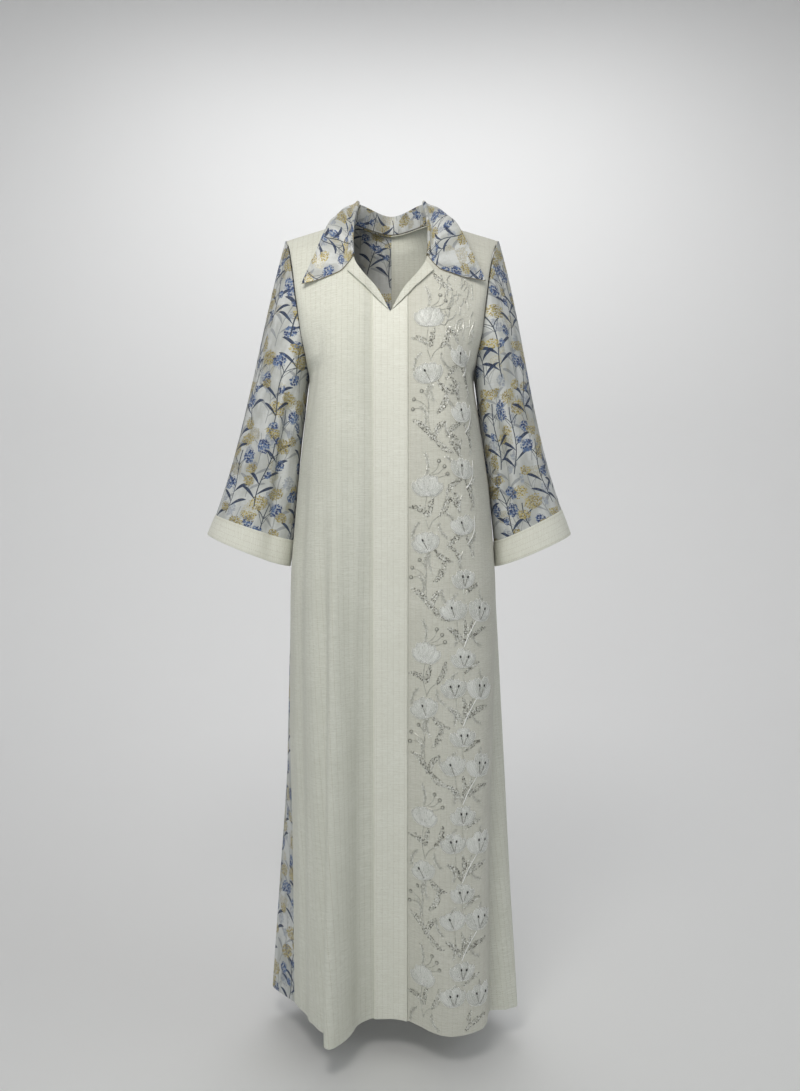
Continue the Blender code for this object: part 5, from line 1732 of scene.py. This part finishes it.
COLLAR_ROWS = {
    Side.RIGHT: rows_of(
        CollarRow,
        (0.00, (0.0005, -0.0060, 0.0030), (0.083, -0.094, -0.118), (0.1490, -0.092, -0.136)),
        (0.22, (-0.0050, -0.0060, 0.0140), (0.088, -0.083, -0.074), (0.1290, -0.082, -0.086)),
        (0.48, (-0.0155, -0.0030, 0.0330), (0.078, -0.020, 0.020), (0.0960, -0.030, -0.004)),
        (0.75, (-0.0080, 0.0030, 0.0360), (0.058, 0.058, 0.022), (0.0700, 0.074, -0.020)),
        (1.00, (0.0000, 0.0060, 0.0360), (0.000, 0.084, 0.020), (0.0000, 0.101, -0.024)),
    ),
    Side.LEFT: rows_of(
        CollarRow,
        (0.00, (0.0005, -0.0060, 0.0030), (0.083, -0.094, -0.114), (0.1600, -0.088, -0.130)),
        (0.22, (-0.0050, -0.0060, 0.0140), (0.090, -0.083, -0.070), (0.1380, -0.080, -0.080)),
        (0.48, (-0.0155, -0.0030, 0.0330), (0.079, -0.020, 0.020), (0.1000, -0.030, -0.004)),
        (0.75, (-0.0080, 0.0030, 0.0360), (0.058, 0.058, 0.022), (0.0700, 0.074, -0.020)),
        (1.00, (0.0000, 0.0060, 0.0360), (0.000, 0.084, 0.020), (0.0000, 0.101, -0.024)),
    ),
}


@dataclass
class Collar:
    """The turned-down collar: a low stand, a roll, and a leaf with long points."""

    body: Body
    cloths: Cloths
    stations: int = 56
    edge_points: int = 60
    stand: tuple[float, ...] = (0.0, 0.33, 0.67)
    roll_points: int = 9
    leaf_points: int = 18
    roll_radius: float = 0.0028
    notch_share: float = 0.36
    neck_y: float = -0.01
    neck_gap: float = 0.0006
    clearance: float = 0.0014
    stitch_inset: float = 0.0045

    def neck_edge(self, side: Side) -> np.ndarray:
        """Evenly spaced points of the neck edge, from the revers round to the centre back."""
        front, back = self.body.front[side], self.body.back[side]
        start = front.up_at(np.array([self.notch_share]), np.array([NOTCH]))[0]
        ups = np.linspace(start, front.top, self.edge_points)
        tip = back.share_at(np.array([NECK_HALF]), np.array([back.top]))[0]
        round_back = back.bare(np.linspace(tip, 0.0, len(ups)), np.full(len(ups), back.top))
        edge = np.concatenate([front.bare(front.neck(ups), ups), round_back[1:]])
        runs = runs_along(edge)
        return at_runs(edge, runs, np.linspace(0, runs[-1], self.stations + 1))

    def section(self, base: np.ndarray, share: float, side: Side) -> np.ndarray:
        """The middle line of the collar's cloth in one section, from neck edge to leaf's edge."""
        shares, *parts = zip(*COLLAR_ROWS[side])
        roll, middle, edge = (
            curve(shares, np.array(part)[:, None, :], np.array([share]))[0] * (side.value, 1.0, 1.0)
            for part in parts
        )
        inwards = units(np.array((-base[0], self.neck_y - base[1], 0.0)))
        start = base + inwards * (self.neck_gap + WALL / 2)
        height = float(np.linalg.norm(roll))
        rise = units(roll)
        roll = start + roll
        out = square_to(middle - roll, rise)
        radius = min(self.roll_radius, 0.4 * height)
        turn = np.linspace(0.0, math.pi, self.roll_points)[:, None]
        stand = start + rise * (height - radius) * np.array(self.stand)[:, None]
        bend = roll + (out * (1 - np.cos(turn)) - rise * (1 - np.sin(turn))) * radius
        down = -rise * 1.2 * float(np.linalg.norm(middle - bend[-1]))
        steps = np.linspace(0, 1, self.leaf_points + 1)[1:]
        leaf = curve((0.0, 0.5, 1.0), np.array((bend[-1], middle, edge))[:, None, :], steps, start=down)
        return np.concatenate([stand, bend, leaf])

    def cloth_below(self, rows: int = 60, columns: int = 50) -> BVHTree:
        """The outer faces of the fronts' and backs' upper parts."""
        corner = np.add.outer(np.arange(rows - 1) * columns, np.arange(columns - 1)).ravel()
        face = corner[:, None] + (0, 1, columns + 1, columns)
        points, faces = [], []
        for skin in (*self.body.front.values(), *self.body.back.values()):
            outward = skin.side.value * skin.face.value > 0
            faces += (len(points) + (face if outward else face[:, ::-1])).tolist()
            ups = np.linspace(skin.underarm, skin.top, rows)
            points += [Vector(point) for point in skin.point(*skin.grid(ups, columns))]
        return BVHTree.FromPolygons(points, faces)

    def settle(self, grid: np.ndarray, first: int) -> None:
        """Lifts the leaf off the cloth that it lies on, and smooths what was moved."""
        tree = self.cloth_below()
        distance = self.clearance + WALL / 2
        for _ in range(4):
            for line in grid:
                for place in line[first:]:
                    point = Vector(place)
                    near, outward, _, _ = tree.find_nearest(point)
                    short = distance - (point - near).dot(outward)
                    if short > 0:
                        place += np.array(outward) * short
            around = grid[:-2, first:-1] + grid[2:, first:-1]
            around += grid[1:-1, first - 1 : -2] + grid[1:-1, first + 1 :]
            grid[1:-1, first:-1] = grid[1:-1, first:-1] / 2 + around / 8

    def make(self) -> bpy.types.Object:
        """The whole collar in one bent wall."""
        lines = {}
        for side in Side:
            edge = self.neck_edge(side)
            shares = np.linspace(0, 1, len(edge))
            lines[side] = [self.section(point, share, side) for point, share in zip(edge, shares)]
        middle = (lines[Side.RIGHT][-1] + lines[Side.LEFT][-1]) / 2
        middle[:, 0] = 0.0
        grid = np.array(lines[Side.RIGHT][:-1] + [middle] + lines[Side.LEFT][-2::-1])
        self.settle(grid, len(self.stand) + self.roll_points)
        across = runs_along(grid)
        along = runs_along(grid.transpose(1, 0, 2)).T
        places = np.dstack([along - along[self.stations], -across])
        normals = units(np.cross(np.gradient(grid, axis=0), np.gradient(grid, axis=1)))
        outer = grid + normals * WALL / 2
        piece = cloth_grid("collar_cloth", outer, places, self.cloths.print)
        if piece.data.polygons[0].normal.dot(Vector(normals[0, 0])) < 0:
            piece.data.flip_normals()
        inset = across[:, -1:] - self.stitch_inset
        seam = np.concatenate([at_runs(*part) for part in zip(outer, across, inset)])
        self.body.stitching.row(seam[1:-1], normals[1:-1, -3])
        return walled(piece, WALL, 0.0004, self.cloths.edging)


class Lamp(NamedTuple):
    """A soft square light: its place, what it is aimed at, its size, watts and colour."""

    place: tuple[float, float, float]
    aim: tuple[float, float, float]
    size: float
    watts: float
    colour: Colour


LAMPS = {
    "key": Lamp((-0.22, -0.86, 0.33), (-0.05, -0.1, -0.16), 0.5, 6.2, (1.0, 0.975, 0.92)),
    "front": Lamp((-0.70, -2.10, -0.85), (0.0, 0.0, -1.15), 0.9, 8.0, (0.95, 1.0, 0.98)),
    "fill": Lamp((2.0, -0.7, 0.2), (0.1, 0.0, -0.8), 1.2, 5.0, (0.94, 1.0, 1.0)),
    "rear": Lamp((0.0, 1.9, 2.1), (0.0, 3.25, 0.3), 2.4, 50.0, (1.0, 1.0, 1.0)),
}


@dataclass
class Studio:
    """The camera, the soft lights, and the pale floor that curves up all round."""

    camera_place: tuple[float, float, float] = (0.016, -1.42, -0.545)
    camera_pitch: float = math.radians(88.8)
    focal_pixels: float = 790.0
    frame_height: float = 1091.0
    sensor: float = 36.0
    floor: float = -1.45
    flat_radius: float = 2.5
    cove_radius: float = 1.6
    cove_steps: int = 12
    turn_steps: int = 96
    wall_height: float = 5.0

    def camera(self) -> None:
        """The camera at the photograph's place and angle of view."""
        data = bpy.data.cameras.new("camera")
        data.sensor_width = self.sensor
        data.lens = self.focal_pixels / self.frame_height * self.sensor
        data.clip_start = 0.02
        eye = placed("camera", data)
        eye.location = self.camera_place
        eye.rotation_euler = (self.camera_pitch, 0.0, 0.0)
        bpy.context.scene.camera = eye

    def backdrop(self) -> None:
        """A floor that turns up into a wall all round, as one smooth dish."""
        flat, cove = self.flat_radius, self.cove_radius
        profile = [(0.0, 0.0), (flat * 0.5, 0.0), (flat, 0.0)]
        for turn in np.linspace(0, math.pi / 2, self.cove_steps + 1)[1:]:
            profile.append((flat + cove * math.sin(turn), cove * (1 - math.cos(turn))))
        profile.append((profile[-1][0], self.wall_height))
        bm = bmesh.new()
        verts = [bm.verts.new((x, 0.0, self.floor + z)) for x, z in profile]
        edges = [bm.edges.new(pair) for pair in zip(verts, verts[1:])]
        bmesh.ops.spin(
            bm,
            geom=verts + edges,
            axis=(0, 0, 1),
            cent=(0, 0, 0),
            angle=2 * math.pi,
            steps=self.turn_steps,
            use_merge=True,
        )
        bmesh.ops.remove_doubles(bm, verts=bm.verts, dist=1e-5)
        bmesh.ops.recalc_face_normals(bm, faces=bm.faces)
        for face in bm.faces:
            face.smooth = True
        material, _ = new_material("backdrop", Base_Color=(0.86, 0.86, 0.86, 1.0), Roughness=0.9)
        new_object("backdrop", bm, material)

    def light(self, name: str, lamp: Lamp) -> None:
        """A soft square light that the camera doesn't see."""
        data = bpy.data.lights.new(name, "AREA")
        data.shape = "SQUARE"
        data.size, data.energy, data.color = lamp.size, lamp.watts, lamp.colour
        light = placed(name, data)
        light.location = lamp.place
        towards = Vector(lamp.aim) - Vector(lamp.place)
        light.rotation_euler = towards.to_track_quat("-Z", "Y").to_euler()
        light.visible_camera = False

    def make(self) -> None:
        """Sets up the whole studio."""
        self.camera()
        self.backdrop()
        for name, lamp in LAMPS.items():
            self.light(name, lamp)
        world = bpy.data.worlds.new("room")
        world.use_nodes = True
        sky = world.node_tree.nodes["Background"]
        sky.inputs["Color"].default_value = (0.98, 0.99, 1.0, 1.0)
        sky.inputs["Strength"].default_value = 0.265
        bpy.context.scene.world = world
        bpy.context.scene.view_settings.view_transform = "Standard"


def corners(box: Sequence[Vector]) -> list[list[float]]:
    """A box as plain lists of numbers."""
    return [list(map(float, corner)) for corner in box]


def dressed(piece: bpy.types.Object, node: str) -> bpy.types.Object:
    """Fixes a piece to the body in place of a solid, which it hides."""
    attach(piece, "root")
    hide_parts(node)
    log.info("%s stands for %s", piece.name, node)
    return piece


def cut_of(piece: bpy.types.Object, aslant: bool) -> tuple[float, float, float]:
    """The size that a piece of cloth was cut to, from its map of flat places.

    Args:
        piece: The walled cloth.
        aslant: Whether it is measured along its own longest way, and not up the garment.

    Returns:
        Its width, length and area.
    """
    mesh = piece.data
    flat = np.empty(len(mesh.loops) * 2)
    mesh.uv_layers["cloth"].uv.foreach_get("vector", flat)
    flat = flat.reshape(-1, 2)
    a, b, c = flat[np.array([triangle.loops for triangle in mesh.loop_triangles])].transpose(1, 0, 2)
    p, q = b - a, c - a
    both_faces = float(np.abs(p[:, 0] * q[:, 1] - p[:, 1] * q[:, 0]).sum()) / 2
    if aslant:
        flat = flat @ np.linalg.eigh(np.cov(flat.T))[1]
    width, length = map(float, np.ptp(flat, axis=0))
    return width, length, both_faces / 2


def declared(
    piece: bpy.types.Object,
    rests_on: Sequence[str] = (),
    aslant: bool = False,
) -> None:
    """Logs the size that a piece of cloth was cut to.

    Args:
        piece: The walled cloth, with its map of flat places.
        rests_on: Not used.
        aslant: Whether it is cut along a slanted edge.
    """
    width, length, area = cut_of(piece, aslant)
    size = (width / MM, length / MM, area)
    log.info("%s: cut %.0f by %.0f mm, %.4f square metres", piece.name, *size)


def main() -> None:
    """Builds the garment and its studio, and reports each piece."""
    logging.basicConfig(level=logging.INFO, format="%(message)s")
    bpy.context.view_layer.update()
    weave, sprigs = weave_group(), sprig_group()
    cream = WovenFinish("cream", light=(0.78, 0.785, 0.715), shade=(0.63, 0.635, 0.555), stripe=0.10)
    ground = WovenFinish("ground", light=(0.725, 0.72, 0.655), shade=(0.58, 0.575, 0.505), stripe=0.07)
    # The band of the placket and cuffs is the cream made lighter: partly a lighter cloth, partly painted
    # light, as the placket faces the lamps
    band = WovenFinish("band", light=(0.87, 0.875, 0.80), shade=(0.74, 0.735, 0.65), stripe=0.08)
    cloths = Cloths(
        *(finish.make(weave) for finish in (cream, ground, band)),
        PrintedFinish("print", 7.0, 0.8, 0.5, (0.86, 0.45), 0.45).make(weave, sprigs),
        # The collar's cut edge is a dark gold-brown: partly a gold-brown edge, partly painted shade with a
        # warm reflection on the edge's thickness
        tinted_material("edging", ((0.0, (0.30, 0.24, 0.13)), (1.0, (0.42, 0.34, 0.20))), 0.15, 0.65),
    )
    body = Body(cloths, Stitching())
    Studio().make()
    right, left, printed, plain = (
        dressed(body.panel(skin, cloth), skin.name)
        for skin, cloth, slot in (
            (body.front[Side.RIGHT], cloths.cream, "plain_cloth"),
            (body.front[Side.LEFT], cloths.ground, "embroidered_cloth"),
            (body.back[Side.RIGHT], cloths.print, "printed_cloth"),
            (body.back[Side.LEFT], cloths.cream, "plain_cloth"),
        )
    )
    hung = [right, printed, plain, dressed(body.placket(), "placket")]
    # The petals' padding takes the grey low end of these whites, as painted shade in the gaps between the
    # beads; the beads take the lighter rest
    whites = ((0.0, (0.56, 0.57, 0.53)), (0.45, (0.88, 0.89, 0.86)), (1.0, (1.0, 1.0, 0.98)))
    silvers = (
        (0.0, (0.010, 0.010, 0.014)),
        (0.18, (0.15, 0.14, 0.11)),
        (0.5, (0.50, 0.50, 0.45)),
        (1.0, (0.97, 0.97, 0.94)),
    )
    pearl = tinted_material("pearl", whites, 0.0, 0.32)
    sequins = tinted_material("sequin", silvers, 0.45, 0.34)
    sewn = Embroidery(body.front[Side.LEFT]).make(pearl, sequins)
    for piece in sewn:
        dressed(piece, "front_left")
        log.info("%s has %d triangles", piece.name, len(piece.data.polygons))
    declared(left)
    for side in Side:
        revers = dressed(body.revers(side), "revers_" + side.word)
        declared(revers, rests_on=["front_" + side.word + "_cloth"], aslant=True)
        sleeve = Sleeve(side, body, cloths)
        hung.append(dressed(sleeve.sleeve(), "sleeve_" + side.word))
        hung.append(dressed(sleeve.cuff(), "cuff_" + side.word))
    for piece in hung:
        declared(piece)
    collar = dressed(Collar(body, cloths).make(), "collar")
    declared(collar, rests_on=[right.name, left.name])
    thread = tinted_material("thread", ((0.0, (0.66, 0.64, 0.56)), (1.0, (0.80, 0.78, 0.70))), 0.0, 0.7)
    stitches = body.stitching.sewn.make("topstitching", thread)
    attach(stitches, "root")


if __name__ == "__main__":
    main()
